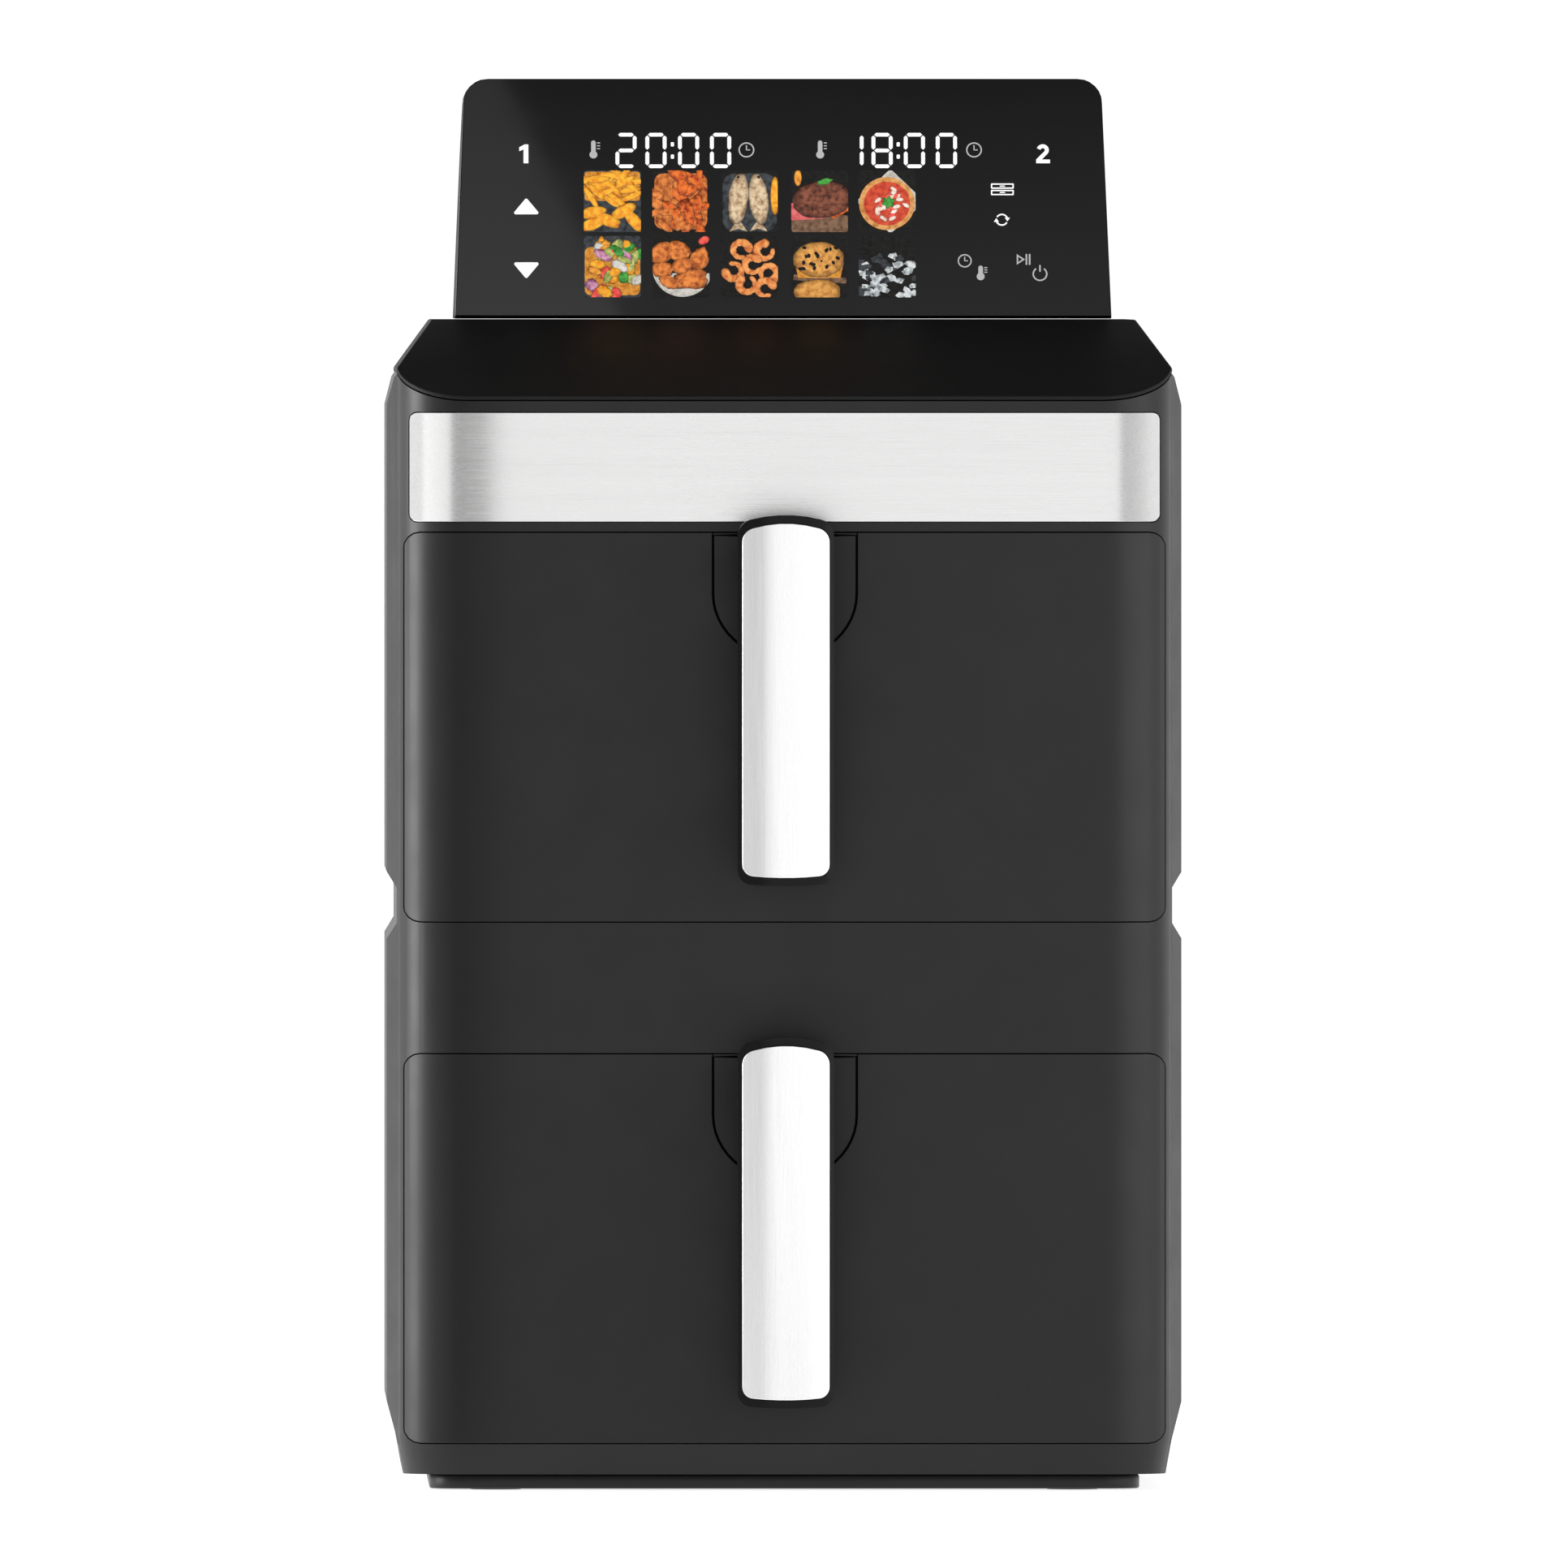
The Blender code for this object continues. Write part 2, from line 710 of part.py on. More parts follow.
def top_cap():
    """The black cap: one skin with a long front slope and short slopes at the other edges."""
    cap = slab(
        "top_cap", [plan_outline(0, FRONT, BACK)], "XY", CAP_FRONT_EDGE - 0.010, HEIGHT, GLOSS_BLACK
    )
    boolean(cap, cap_form("cap_outside", 0), "INTERSECT")
    boolean(cap, cap_form("cap_inside", CAP_THICKNESS))
    passage = slab(
        "cable_passage",
        [
            rounded_rect(
                -CABLE_PASSAGE_HALF, CABLE_PASSAGE_HALF, CABLE_PASSAGE_FRONT, CABLE_PASSAGE_BACK, 0.004, 2
            )
        ],
        "XY",
        CAP_TOP - 0.010,
        HEIGHT,
    )
    boolean(cap, passage)
    smooth(cap)


def base():
    tray_outline = plan_outline(WALL + GAP, FRAME_BACK + GAP, BACK - WALL - GAP)
    slab("base_tray", [tray_outline], "XY", BODY_BOTTOM, BODY_BOTTOM + TRAY_SHEET, HOUSING)
    outline = plan_outline(PLINTH_INSET, FRONT + PLINTH_INSET, BACK - PLINTH_INSET)
    plinth = slab("base_plinth", [outline], "XY", PLINTH_BOTTOM, PLINTH_TOP, HOUSING)
    edge = plinth.modifiers.new("lower_edge", "BEVEL")
    edge.width = PLINTH_EDGE
    edge.segments = 2
    edge.limit_method = "ANGLE"
    edge.angle_limit = math.radians(60)
    places = FOOT_PLACES.values()
    wells = slab(
        "foot_wells",
        [circle(x, y, FOOT_RADIUS + GAP, 24) for x, y in places],
        "XY",
        -0.010,
        BODY_BOTTOM + 0.001,
    )
    boolean(plinth, wells)
    for name, (x, y) in FOOT_PLACES.items():
        profile = [(0, PLINTH_TOP), (FOOT_RADIUS, PLINTH_TOP)]
        profile += [(FOOT_RADIUS, 0.0010), (FOOT_RADIUS - 0.0010, 0), (0, 0)]
        turned(name, profile, (x, y, 0), 24, RUBBER)


def rear_fittings():
    profile = [(GLAND_BORE, 0.0060), (0.0095, 0.0060), (0.0095, 0.0003), (0.0072, 0.0003)]
    profile += [(0.0072, -0.0120), (GLAND_BORE, -0.0120), (GLAND_BORE, 0.0060)]
    gland = turned("cord_gland", profile, (GLAND_X, BACK, GLAND_Z), 16, RUBBER)
    gland.rotation_euler = (math.radians(-90), 0, 0)
    for label, x, z in SCREW_PLACES:
        head = [(0, 0.0022), (0.0026, 0.0020), (0.0036, 0.0012), (0.0036, 0.0003)]
        shank = [(0.0017, 0.0003), (0.0017, -0.0080), (0, -0.0095)]
        screw = turned(f"rear_screw_{label}", head + shank, (x, BACK, z), 12, SCREW_STEEL)
        screw.rotation_euler = (math.radians(-90), 0, 0)


# Display


def display_outline(foot, top, shrink=0.0):
    """The panel's outline in width and height: slightly narrower at its rounded top."""
    half_foot = DISPLAY_HALF_BOTTOM - shrink
    half_top = DISPLAY_HALF_TOP - shrink
    radius = DISPLAY_CORNER - shrink
    lean = math.atan((half_foot - half_top) / (top - foot))
    points = [(half_foot, foot)]
    for i in range(7):
        angle = -lean + (math.pi / 2 + lean) * i / 6
        x = half_top - radius + radius * math.cos(angle)
        points.append((x, top - radius + radius * math.sin(angle)))
    return points + mirrored(points)


def hood_profile(inset, floor):
    """The hood's side view: the leaning front, a rounded crest and a long slope down behind."""
    face_y = DISPLAY_FOOT_Y + GLASS * math.cos(DISPLAY_LEAN) + GAP / math.cos(DISPLAY_LEAN)
    crest_z = HEIGHT - 0.0004 - inset
    run = math.tan(DISPLAY_LEAN)
    step_in = inset / math.cos(DISPLAY_LEAN)
    base_z = CAP_TOP + GAP
    front_low = face_y + step_in + (floor - base_z) * run
    front_high = face_y + step_in + (crest_z - base_z) * run
    crest_y = front_high + 0.012
    tail_y = HOOD_TAIL - inset
    points = [(front_low, floor), (front_high, crest_z)]
    steps = 12
    for i in range(steps + 1):
        angle = math.pi / 2 * i / steps
        y = crest_y + (tail_y - crest_y) * math.sin(angle)
        z = base_z + (crest_z - base_z) * math.cos(angle) ** 0.8
        points.append((y, z))
    if floor < base_z:
        points.append((tail_y, floor))
    return list(reversed(points))


def display():
    base_z = CAP_TOP + GAP
    hood = slab(
        "display_housing",
        [hood_profile(0, base_z)],
        "YZ",
        -DISPLAY_HALF_BOTTOM - 0.010,
        DISPLAY_HALF_BOTTOM + 0.010,
        GLOSS_BLACK,
    )
    front_view = slab(
        "hood_front_view", [display_outline(base_z - 0.0001, HEIGHT)], "XZ", -0.150, 0.190
    )
    boolean(hood, front_view, "INTERSECT")
    inside = slab(
        "hood_inside",
        [hood_profile(HOOD_WALL, base_z - 0.010)],
        "YZ",
        -DISPLAY_HALF_TOP + HOOD_SIDE_WALL,
        DISPLAY_HALF_TOP - HOOD_SIDE_WALL,
    )
    boolean(hood, inside)
    window = box(
        "hood_window",
        (-HOOD_WINDOW_HALF, -0.110, HOOD_WINDOW_LOW),
        (HOOD_WINDOW_HALF, -0.052, HOOD_WINDOW_HIGH),
    )
    boolean(hood, window)
    smooth(hood)

    foot_z = base_z + GLASS * math.sin(DISPLAY_LEAN)
    tall = (HEIGHT - foot_z) / math.cos(DISPLAY_LEAN)
    glass = slab("display_glass", [display_outline(0, tall)], "XZ", 0, GLASS, GLASS_BLACK)
    glass.location = (0, DISPLAY_FOOT_Y, foot_z)
    glass.rotation_euler = (-DISPLAY_LEAN, 0, 0)
    smooth(glass)
    board_outline = rounded_rect(
        -DISPLAY_BOARD_HALF, DISPLAY_BOARD_HALF, DISPLAY_BOARD_LOW, DISPLAY_BOARD_HIGH, 0.002, 1
    )
    board = slab(
        "display_board",
        [board_outline],
        "XZ",
        DISPLAY_BOARD_DEPTH,
        DISPLAY_BOARD_DEPTH + BOARD_SHEET,
        BOARD_GREEN,
    )
    board.location = glass.location
    board.rotation_euler = glass.rotation_euler


# Chambers with their heaters and fans


def chamber(zone, z):
    """The sheet-metal oven box: open in front, with a flange against the front frame."""
    low = (-CHAMBER_HALF - SHEET, FRAME_BACK + GAP, z + CHAMBER_LOW - SHEET)
    high = (CHAMBER_HALF + SHEET, CHAMBER_BACK + SHEET, z + CHAMBER_HIGH + SHEET)
    liner = box(f"{zone}_cavity_liner", low, high, CHAMBER_STEEL)
    flange = box(
        f"{zone}_liner_flange",
        (low[0] - FLANGE_REACH, low[1], low[2] - FLANGE_REACH),
        (high[0] + FLANGE_REACH, low[1] + SHEET, high[2] + FLANGE_REACH),
    )
    boolean(liner, flange, "UNION")
    hollow = box(
        f"{zone}_liner_hollow",
        (-CHAMBER_HALF, FRONT, z + CHAMBER_LOW),
        (CHAMBER_HALF, CHAMBER_BACK, z + CHAMBER_HIGH),
    )
    boolean(liner, hollow)
    top_holes = [circle(0, FAN_Y, SHAFT_HOLE)]
    top_holes += [circle(x, FAN_Y, TERMINAL_HOLE, 8) for x in (COIL_INNER, -COIL_OUTER)]
    boolean(
        liner,
        slab(f"{zone}_liner_top_holes", top_holes, "XY", z + CHAMBER_HIGH - 0.005, z + 0.140),
    )
    outlet = box(
        f"{zone}_liner_outlet",
        (-OUTLET_HALF, CHAMBER_BACK - 0.005, z + OUTLET_LOW),
        (OUTLET_HALF, CHAMBER_BACK + 0.010, z + OUTLET_HIGH),
    )
    boolean(liner, outlet)
    probe_hole = slab(
        f"{zone}_probe_hole", [circle(PROBE_Y, z + PROBE_Z, PROBE_HOLE, 8)], "YZ", -0.125, -0.110
    )
    boolean(liner, probe_hole)


def tube(name, points, radius, material):
    """A bent round tube along hand-set or computed points, with flat ends."""
    curve = bpy.data.curves.new(name, "CURVE")
    curve.dimensions = "3D"
    curve.bevel_depth = radius
    curve.bevel_resolution = 2
    curve.use_fill_caps = True
    spline = curve.splines.new("POLY")
    spline.points.add(len(points) - 1)
    for point, place in zip(spline.points, points):
        point.co = (*place, 1)
    item = add_object(name, mesh_of_curve(name, curve, Matrix.Identity(4)), material)
    smooth(item, 50)
    return item


def heater(zone, z):
    """A spiral tube heater whose two ends turn up through the chamber's roof."""
    points = [(COIL_INNER, FAN_Y, z + COIL_TOP), (COIL_INNER, FAN_Y, z + COIL_Z + COIL_BEND)]
    for i in range(COIL_POINTS + 1):
        share = i / COIL_POINTS
        angle = 2 * math.pi * COIL_TURNS * share
        radius = COIL_INNER + (COIL_OUTER - COIL_INNER) * share
        points.append((radius * math.cos(angle), FAN_Y + radius * math.sin(angle), z + COIL_Z))
    points.append((-COIL_OUTER, FAN_Y, z + COIL_Z + COIL_BEND))
    points.append((-COIL_OUTER, FAN_Y, z + COIL_TOP))
    tube(f"{zone}_heater_coil", points, COIL_TUBE, HEATER_STEEL)

    rings = [circle(0, FAN_Y, GUARD_RADIUS, 32)]
    for inner, outer, count in GUARD_WINDOWS:
        for i in range(count):
            start = 2 * math.pi * i / count
            width = 2 * math.pi / count
            window = []
            for radius, order in ((inner, (0, 1, 2)), (outer, (2, 1, 0))):
                for step in order:
                    margin = GUARD_SPOKE / radius
                    angle = start + margin + (width - 2 * margin) * step / 2
                    window.append((radius * math.cos(angle), FAN_Y + radius * math.sin(angle)))
            rings.append(window)
    slab(f"{zone}_heater_guard", rings, "XY", z + GUARD_LOW, z + GUARD_HIGH, CHAMBER_STEEL)


def fan(zone, z):
    """Motor on its bracket above the roof, and the wheel on its shaft below it."""
    profile = [(0, 0.1500), (0.0030, 0.1500), (0.0030, 0.1300), (0.0080, 0.1290)]
    profile += [(0.0080, 0.1275), (WHEEL_RADIUS, 0.1275), (WHEEL_RADIUS, 0.1263)]
    profile += [(0.0080, 0.1263), (0.0080, 0.1190), (0, 0.1190)]
    wheel = turned(f"{zone}_fan_wheel", profile, (0, FAN_Y, z), 24, ALUMINIUM)
    blades = bmesh.new()
    for i in range(BLADES):
        made = bmesh.ops.create_cube(blades, size=1)["verts"]
        bmesh.ops.scale(blades, vec=(BLADE_LENGTH, BLADE_SHEET, BLADE_HEIGHT), verts=made)
        sweep = Matrix.Rotation(BLADE_SWEEP, 3, "Z")
        bmesh.ops.rotate(blades, cent=(0, 0, 0), matrix=sweep, verts=made)
        bmesh.ops.translate(blades, vec=(BLADE_MIDDLE, 0, BLADE_Z), verts=made)
        turn = Matrix.Rotation(2 * math.pi * i / BLADES, 3, "Z")
        bmesh.ops.rotate(blades, cent=(0, 0, 0), matrix=turn, verts=made)
    blade_set = add_object(f"{zone}_blades", mesh_from(blades, f"{zone}_blades"), None)
    blade_set.location = (0, FAN_Y, z)
    boolean(wheel, blade_set, "UNION")

    near, far = FAN_Y - BRACKET_DEPTH, FAN_Y + BRACKET_DEPTH
    plate = [rounded_rect(-BRACKET_HALF, BRACKET_HALF, near, far, 0.004, 2)]
    plate.append(circle(0, FAN_Y, SHAFT_HOLE))
    bracket = slab(
        f"{zone}_motor_bracket", plate, "XY", z + BRACKET_LOW, z + BRACKET_HIGH, CHAMBER_STEEL
    )
    for side, label in ((-1, "left"), (1, "right")):
        edge = sorted(side * x for x in BRACKET_EAR_X)
        flange = box(
            f"{zone}_{label}_bracket_flange",
            (edge[0], FAN_Y - BRACKET_EAR_HALF, z + BRACKET_HIGH - 0.0005),
            (edge[1], FAN_Y + BRACKET_EAR_HALF, z + BRACKET_EAR_TOP),
        )
        boolean(bracket, flange, "UNION")

    body = [(0, 0.1640), (0.0110, 0.1640), (0.0110, 0.1610), (0.0300, 0.1600), (0.0310, 0.1585)]
    body += [(0.0310, 0.1368), (0.0295, 0.1350), (0.0036, 0.1350), (0.0036, 0.1520), (0, 0.1520)]
    turned(f"{zone}_fan_motor", body, (0, FAN_Y, z), 24, MOTOR_STEEL)


def sensors(zone, z):
    probe = [(0, 0.0100), (0.0021, 0.0090), (0.0024, -0.0010), (0.0024, -0.0070), (0, -0.0070)]
    place = (-CHAMBER_HALF - 0.0005, PROBE_Y, z + PROBE_Z)
    rod = turned(f"{zone}_temperature_probe", probe, place, 12, SCREW_STEEL)
    rod.rotation_euler = (0, math.radians(90), 0)

    housing = box(
        f"{zone}_interlock_switch",
        (PIN_X - SWITCH_HALF, FRAME_BACK + SWITCH_STAND_OFF, z + SWITCH_Z - SWITCH_TALL),
        (PIN_X + SWITCH_HALF, FRAME_BACK + SWITCH_STAND_OFF + SWITCH_DEEP, z + SWITCH_Z + SWITCH_TALL),
        SWITCH_PLASTIC,
    )
    bore = slab(
        f"{zone}_switch_bore",
        [circle(PIN_X, z + SWITCH_Z, PIN_RADIUS + PIN_SLACK, 12)],
        "XZ",
        FRAME_BACK,
        FRAME_BACK + 0.0085,
    )
    boolean(housing, bore)
    pin = [(0, PIN_LENGTH), (PIN_RADIUS, PIN_LENGTH), (PIN_RADIUS, 0.0004), (PIN_RADIUS - 0.0004, 0)]
    plunger = turned(
        f"{zone}_switch_plunger",
        pin + [(0, 0)],
        (PIN_X, PIN_TIP, z + SWITCH_Z),
        12,
        SWITCH_PLASTIC,
    )
    plunger.rotation_euler = (math.radians(-90), 0, 0)


def duct(zone, z):
    outline = [
        rounded_rect(-DUCT_HALF, DUCT_HALF, z + DUCT_LOW, z + DUCT_HIGH, 0.002, 1),
        rounded_rect(
            SHEET - DUCT_HALF, DUCT_HALF - SHEET, z + DUCT_LOW + SHEET, z + DUCT_HIGH - SHEET, 0.001, 1
        ),
    ]
    slab(
        f"{zone}_exhaust_duct",
        outline,
        "XZ",
        CHAMBER_BACK + SHEET + GAP,
        BACK - WALL - GAP,
        CHAMBER_STEEL,
    )


def power_board():
    """The power board behind the lower chamber, with its transformer, relays and heat sink."""
    y = CHAMBER_BACK + 0.009
    outline = rounded_rect(-0.080, 0.080, 0.034, 0.108, 0.002, 1)
    board = slab("power_board", [outline], "XZ", y, y + BOARD_SHEET, BOARD_GREEN)
    blocks = {
        "transformer": ((-0.066, 0.050), (-0.034, 0.084), 0.024),
        "heat_sink": ((-0.020, 0.048), (0.004, 0.096), 0.020),
        "first_relay": ((0.016, 0.078), (0.036, 0.094), 0.016),
        "second_relay": ((0.046, 0.078), (0.066, 0.094), 0.016),
        "terminal_block": ((0.016, 0.044), (0.066, 0.056), 0.013),
    }
    for name, (low, high, tall) in blocks.items():
        block = box(name, (low[0], y + 0.0010, low[1]), (high[0], y + BOARD_SHEET + tall, high[1]))
        boolean(board, block, "UNION")


# Drawers

def arched_bar(half, low, high, radius, steps=5):
    """A bar's front view: bowed ends with rounded corners, the top more bowed than the bottom."""
    straight = half - radius
    corner = []
    for i in range(steps + 1):
        angle = math.pi / 2 * (1 - i / steps)
        corner.append((-straight - radius * math.sin(angle), radius * (1 - math.cos(angle))))
    middle = [(straight * (2 * i / steps - 1), 0.0) for i in range(1, steps)]
    ends = corner + middle + [(-x, drop) for x, drop in reversed(corner)]
    bottom = [(x, low + drop + BOTTOM_ARCH * (x / half) ** 2) for x, drop in ends]
    top = [(x, high - drop - TOP_ARCH * (x / half) ** 2) for x, drop in reversed(ends)]
    return bottom + top


def shield(z, grow, top):
    """The handle base's front view: straight sides that curve together below."""
    start = z + DRAWER_HEIGHT - SHIELD_STRAIGHT
    half = SHIELD_HALF + grow
    points = [(half, top)]
    steps = 12
    for i in range(steps + 1):
        angle = math.pi * i / steps
        drop = (SHIELD_CURVE + grow) * math.sin(angle)
        points.append((half * math.cos(angle), start - drop))
    points.append((-half, top))
    return points


def crowned(name, outline, y_front, y_back, crown, material):
    """A bar whose front bulges across its width: a plan outline cut to its front view."""
    half = max(x for x, _ in outline)
    steps = 12
    plan = [(half + 0.001, y_back), (-half - 0.001, y_back)]
    for i in range(steps + 1):
        share = -1 + 2 * i / steps
        plan.append((share * half * 1.001, y_front + crown * share * share))
    low = min(z for _, z in outline) - 0.001
    high = max(z for _, z in outline) + 0.001
    bar = slab(name, [plan], "XY", low, high, material)
    view = slab(name + "_view", [outline], "XZ", y_front - 0.010, y_back + 0.010)
    boolean(bar, view, "INTERSECT")
    smooth(bar)
    return bar


def handle(zone, z):
    flush = FRONT
    outline = shield(z, 0, z + DRAWER_HEIGHT)
    handle_base = slab(f"{zone}_handle_base", [outline], "XZ", flush, flush + SKIN, HOUSING)
    neck_outline = [
        (flush + SKIN / 2, z + NECK_LOW),
        (flush - 0.0080, z + NECK_LOW + 0.0025),
        (GRIP_BACK - GAP, z + NECK_LOW + 0.0050),
        (GRIP_BACK - GAP, z + NECK_HIGH),
        (flush + SKIN / 2, z + NECK_HIGH),
    ]
    neck = slab(f"{zone}_neck", [list(reversed(neck_outline))], "YZ", -NECK_HALF, NECK_HALF)
    boolean(handle_base, neck, "UNION")

    bezel = arched_bar(GRIP_HALF, z + GRIP_LOW, z + GRIP_HIGH, GRIP_CORNER)
    grip = crowned(
        f"{zone}_handle_grip", bezel, GRIP_FRONT, GRIP_BACK - 2 * GAP, CROWN, GLOSS_BLACK
    )
    low = z + GRIP_LOW + TRIM_INSET
    high = z + GRIP_HIGH - TRIM_INSET
    pocket_view = arched_bar(TRIM_HALF + GAP, low - GAP, high + GAP, TRIM_CORNER + GAP)
    pocket = slab(
        f"{zone}_trim_pocket",
        [pocket_view],
        "XZ",
        GRIP_FRONT - 0.010,
        GRIP_FRONT + TRIM_POCKET,
    )
    boolean(grip, pocket)
    trim = crowned(
        f"{zone}_handle_trim",
        arched_bar(TRIM_HALF, low, high, TRIM_CORNER),
        FRONT - HANDLE_REACH,
        GRIP_FRONT + TRIM_POCKET - GAP,
        TRIM_CROWN,
        BRIGHT_METAL,
    )
    return handle_base, grip, trim


def basket(zone, z):
    """A pan pressed from one sheet: leaning walls, round corners and a turned-out rim."""
    edit = bmesh.new()
    bmesh.ops.create_cube(edit, size=2)
    middle = (BASKET_FRONT + BASKET_BACK) / 2
    half_depth = (BASKET_BACK - BASKET_FRONT) / 2
    half_height = (BASKET_HIGH - BASKET_LOW) / 2
    bmesh.ops.scale(edit, vec=(BASKET_HALF, half_depth, half_height), verts=edit.verts)
    uprights = [edge for edge in edit.edges if abs(edge.verts[0].co.z - edge.verts[1].co.z) > 0.01]
    bmesh.ops.bevel(
        edit, geom=uprights, offset=BASKET_CORNER, segments=5, profile=0.5, affect="EDGES"
    )
    for vert in edit.verts:
        if vert.co.z < 0:
            vert.co.x *= 1 - BASKET_DRAFT / BASKET_HALF
            vert.co.y *= 1 - BASKET_DRAFT / half_depth
    floor_edges = [edge for edge in edit.edges if all(vert.co.z < 0 for vert in edge.verts)]
    bmesh.ops.bevel(edit, geom=floor_edges, offset=0.008, segments=2, profile=0.5, affect="EDGES")
    lid = [face for face in edit.faces if face.normal.z > 0.9]
    bmesh.ops.delete(edit, geom=lid, context="FACES_ONLY")
    rim = [edge for edge in edit.edges if edge.is_boundary]
    made = bmesh.ops.extrude_edge_only(edit, edges=rim)["geom"]
    for vert in [item for item in made if isinstance(item, bmesh.types.BMVert)]:
        vert.co.x *= 1 + BASKET_RIM / BASKET_HALF
        vert.co.y *= 1 + BASKET_RIM / half_depth
    bmesh.ops.recalc_face_normals(edit, faces=edit.faces)
    floor = min(edit.faces, key=lambda face: face.calc_center_median().z)
    if floor.normal.z > 0:
        bmesh.ops.reverse_faces(edit, faces=edit.faces)
    pan = add_object(f"{zone}_basket", mesh_from(edit, f"{zone}_basket"), COATED_STEEL)
    pan.location = (0, middle, z + (BASKET_HIGH + BASKET_LOW) / 2)
    sheet = pan.modifiers.new("sheet", "SOLIDIFY")
    sheet.thickness = BASKET_SHEET
    sheet.offset = -1
    sheet.use_even_offset = True
    smooth(pan)
    return pan


def crisper(zone, z):
    """The slotted plate that stands in the basket, and the soft ring round its edge."""
    y0 = BASKET_FRONT + PLATE_MARGIN
    y1 = BASKET_BACK - PLATE_MARGIN
    outline = rounded_rect(-PLATE_HALF, PLATE_HALF, y0, y1, PLATE_CORNER)
    low, high = z + PLATE_LOW, z + PLATE_LOW + PLATE_SHEET
    plate = slab(f"{zone}_crisper_plate", [outline], "XY", low, high, COATED_STEEL)
    slots = []
    for column in range(SLOT_COLUMNS):
        for row in range(SLOT_ROWS):
            x = (column - (SLOT_COLUMNS - 1) / 2) * SLOT_PITCH_X
            y = (y0 + y1) / 2 + (row - (SLOT_ROWS - 1) / 2) * SLOT_PITCH_Y
            left, right = x - SLOT_HALF, x + SLOT_HALF
            slots.append(rounded_rect(left, right, y - SLOT_NARROW, y + SLOT_NARROW, 0.002, 1))
    boolean(plate, slab(f"{zone}_plate_slots", slots, "XY", low - 0.005, high + 0.005))
    middle = (y0 + y1) / 2
    loop_outline = [
        (-0.018, z + PLATE_LOW + 0.0005), (-0.016, z + PLATE_LOW + 0.0180),
        (0.016, z + PLATE_LOW + 0.0180), (0.018, z + PLATE_LOW + 0.0005),
        (0.014, z + PLATE_LOW + 0.0005), (0.0125, z + PLATE_LOW + 0.0145),
        (-0.0125, z + PLATE_LOW + 0.0145), (-0.014, z + PLATE_LOW + 0.0005),
    ]
    loop_name = f"{zone}_plate_loop"
    near, far = middle + LOOP_FRONT, middle + LOOP_BACK
    loop = slab(loop_name, [list(reversed(loop_outline))], "XZ", near, far)
    boolean(plate, loop, "UNION")
    reach = PLATE_HALF + RING_WIDTH
    ring_outer = rounded_rect(
        -reach, reach, y0 - RING_WIDTH, y1 + RING_WIDTH, PLATE_CORNER + RING_WIDTH
    )
    ring_inner = rounded_rect(
        -PLATE_HALF - GAP, PLATE_HALF + GAP, y0 - GAP, y1 + GAP, PLATE_CORNER + GAP
    )
    ring = slab(
        f"{zone}_plate_ring",
        [ring_outer, ring_inner],
        "XY",
        z + PLATE_LOW - RING_LIP_BELOW,
        z + PLATE_LOW + PLATE_SHEET + RING_LIP_ABOVE,
        SILICONE,
    )
    return plate, ring


def drawer(zone, z):
    cover = slab(
        f"{zone}_drawer_front",
        [front_strip(0, SKIN, PANEL_BACK)],
        "XY",
        z,
        z + DRAWER_HEIGHT,
        HOUSING,
    )
    view = drawer_window(f"{zone}_drawer_view", z, 0, FRONT - 0.010, RECESS_BACK)
    boolean(cover, view, "INTERSECT")
    seat = slab(
        f"{zone}_shield_seat",
        [shield(z, GAP, z + DRAWER_HEIGHT + 0.005)],
        "XZ",
        FRONT - 0.010,
        PANEL_FRONT,
    )
    boolean(cover, seat)
    smooth(cover)

    rim = right_edge(SKIN + GAP, PANEL_FRONT, PANEL_BACK)
    panel = slab(
        f"{zone}_drawer_panel",
        [rim + mirrored(rim)],
        "XY",
        z + 0.0030,
        z + DRAWER_HEIGHT - 0.0030,
        HOUSING,
    )
    tab = box(
        f"{zone}_switch_tab",
        (SWITCH_X + 0.0002 - TAB_HALF, PANEL_BACK - 0.002, z + SWITCH_Z - TAB_TALL),
        (SWITCH_X + 0.0002 + TAB_HALF, PIN_TIP - GAP, z + SWITCH_Z + TAB_TALL),
    )
    boolean(panel, tab, "UNION")
    smooth(panel)

    bracket = box(
        f"{zone}_basket_bracket",
        (-BASKET_BRACKET_HALF, PANEL_BACK + GAP, z + BASKET_BRACKET_LOW),
        (BASKET_BRACKET_HALF, BASKET_FRONT - GAP, z + BASKET_BRACKET_HIGH),
        CHAMBER_STEEL,
    )
    hollow = tapered_box(
        f"{zone}_bracket_hollow",
        1,
        PANEL_BACK + SHEET + GAP,
        BASKET_FRONT + 0.005,
        ((-0.040, 0.040), (z + 0.0300, z + 0.0750)),
        ((-0.044, 0.044), (z + 0.0270, z + 0.0780)),
    )
    boolean(bracket, hollow)

    pan = basket(zone, z)
    handle_base, grip, trim = handle(zone, z)
    plate, ring = crisper(zone, z)
    for item in (cover, panel, bracket, handle_base, grip, trim, plate, ring):
        set_origin(item, (0, 0, z + SLIDE_PIVOT_Z))
    slide = make_pivot(f"{zone}_drawer_slide", (0, FRONT, z + SLIDE_PIVOT_Z))
    hang_on(slide, cover, panel, bracket, pan, handle_base, grip, trim, plate, ring)


front_frame()
side_cover("side_cover_left", -1)
side_cover("side_cover_right", 1)
rear_cover()
top_cap()
band_piece("steel_band", 0, BAND_SHEET, 0, BRUSHED_STEEL)
base()
rear_fittings()
display()
power_board()
for zone_name, zone_z in ZONES.items():
    chamber(zone_name, zone_z)
    heater(zone_name, zone_z)
    fan(zone_name, zone_z)
    sensors(zone_name, zone_z)
    duct(zone_name, zone_z)
    drawer(zone_name, zone_z)
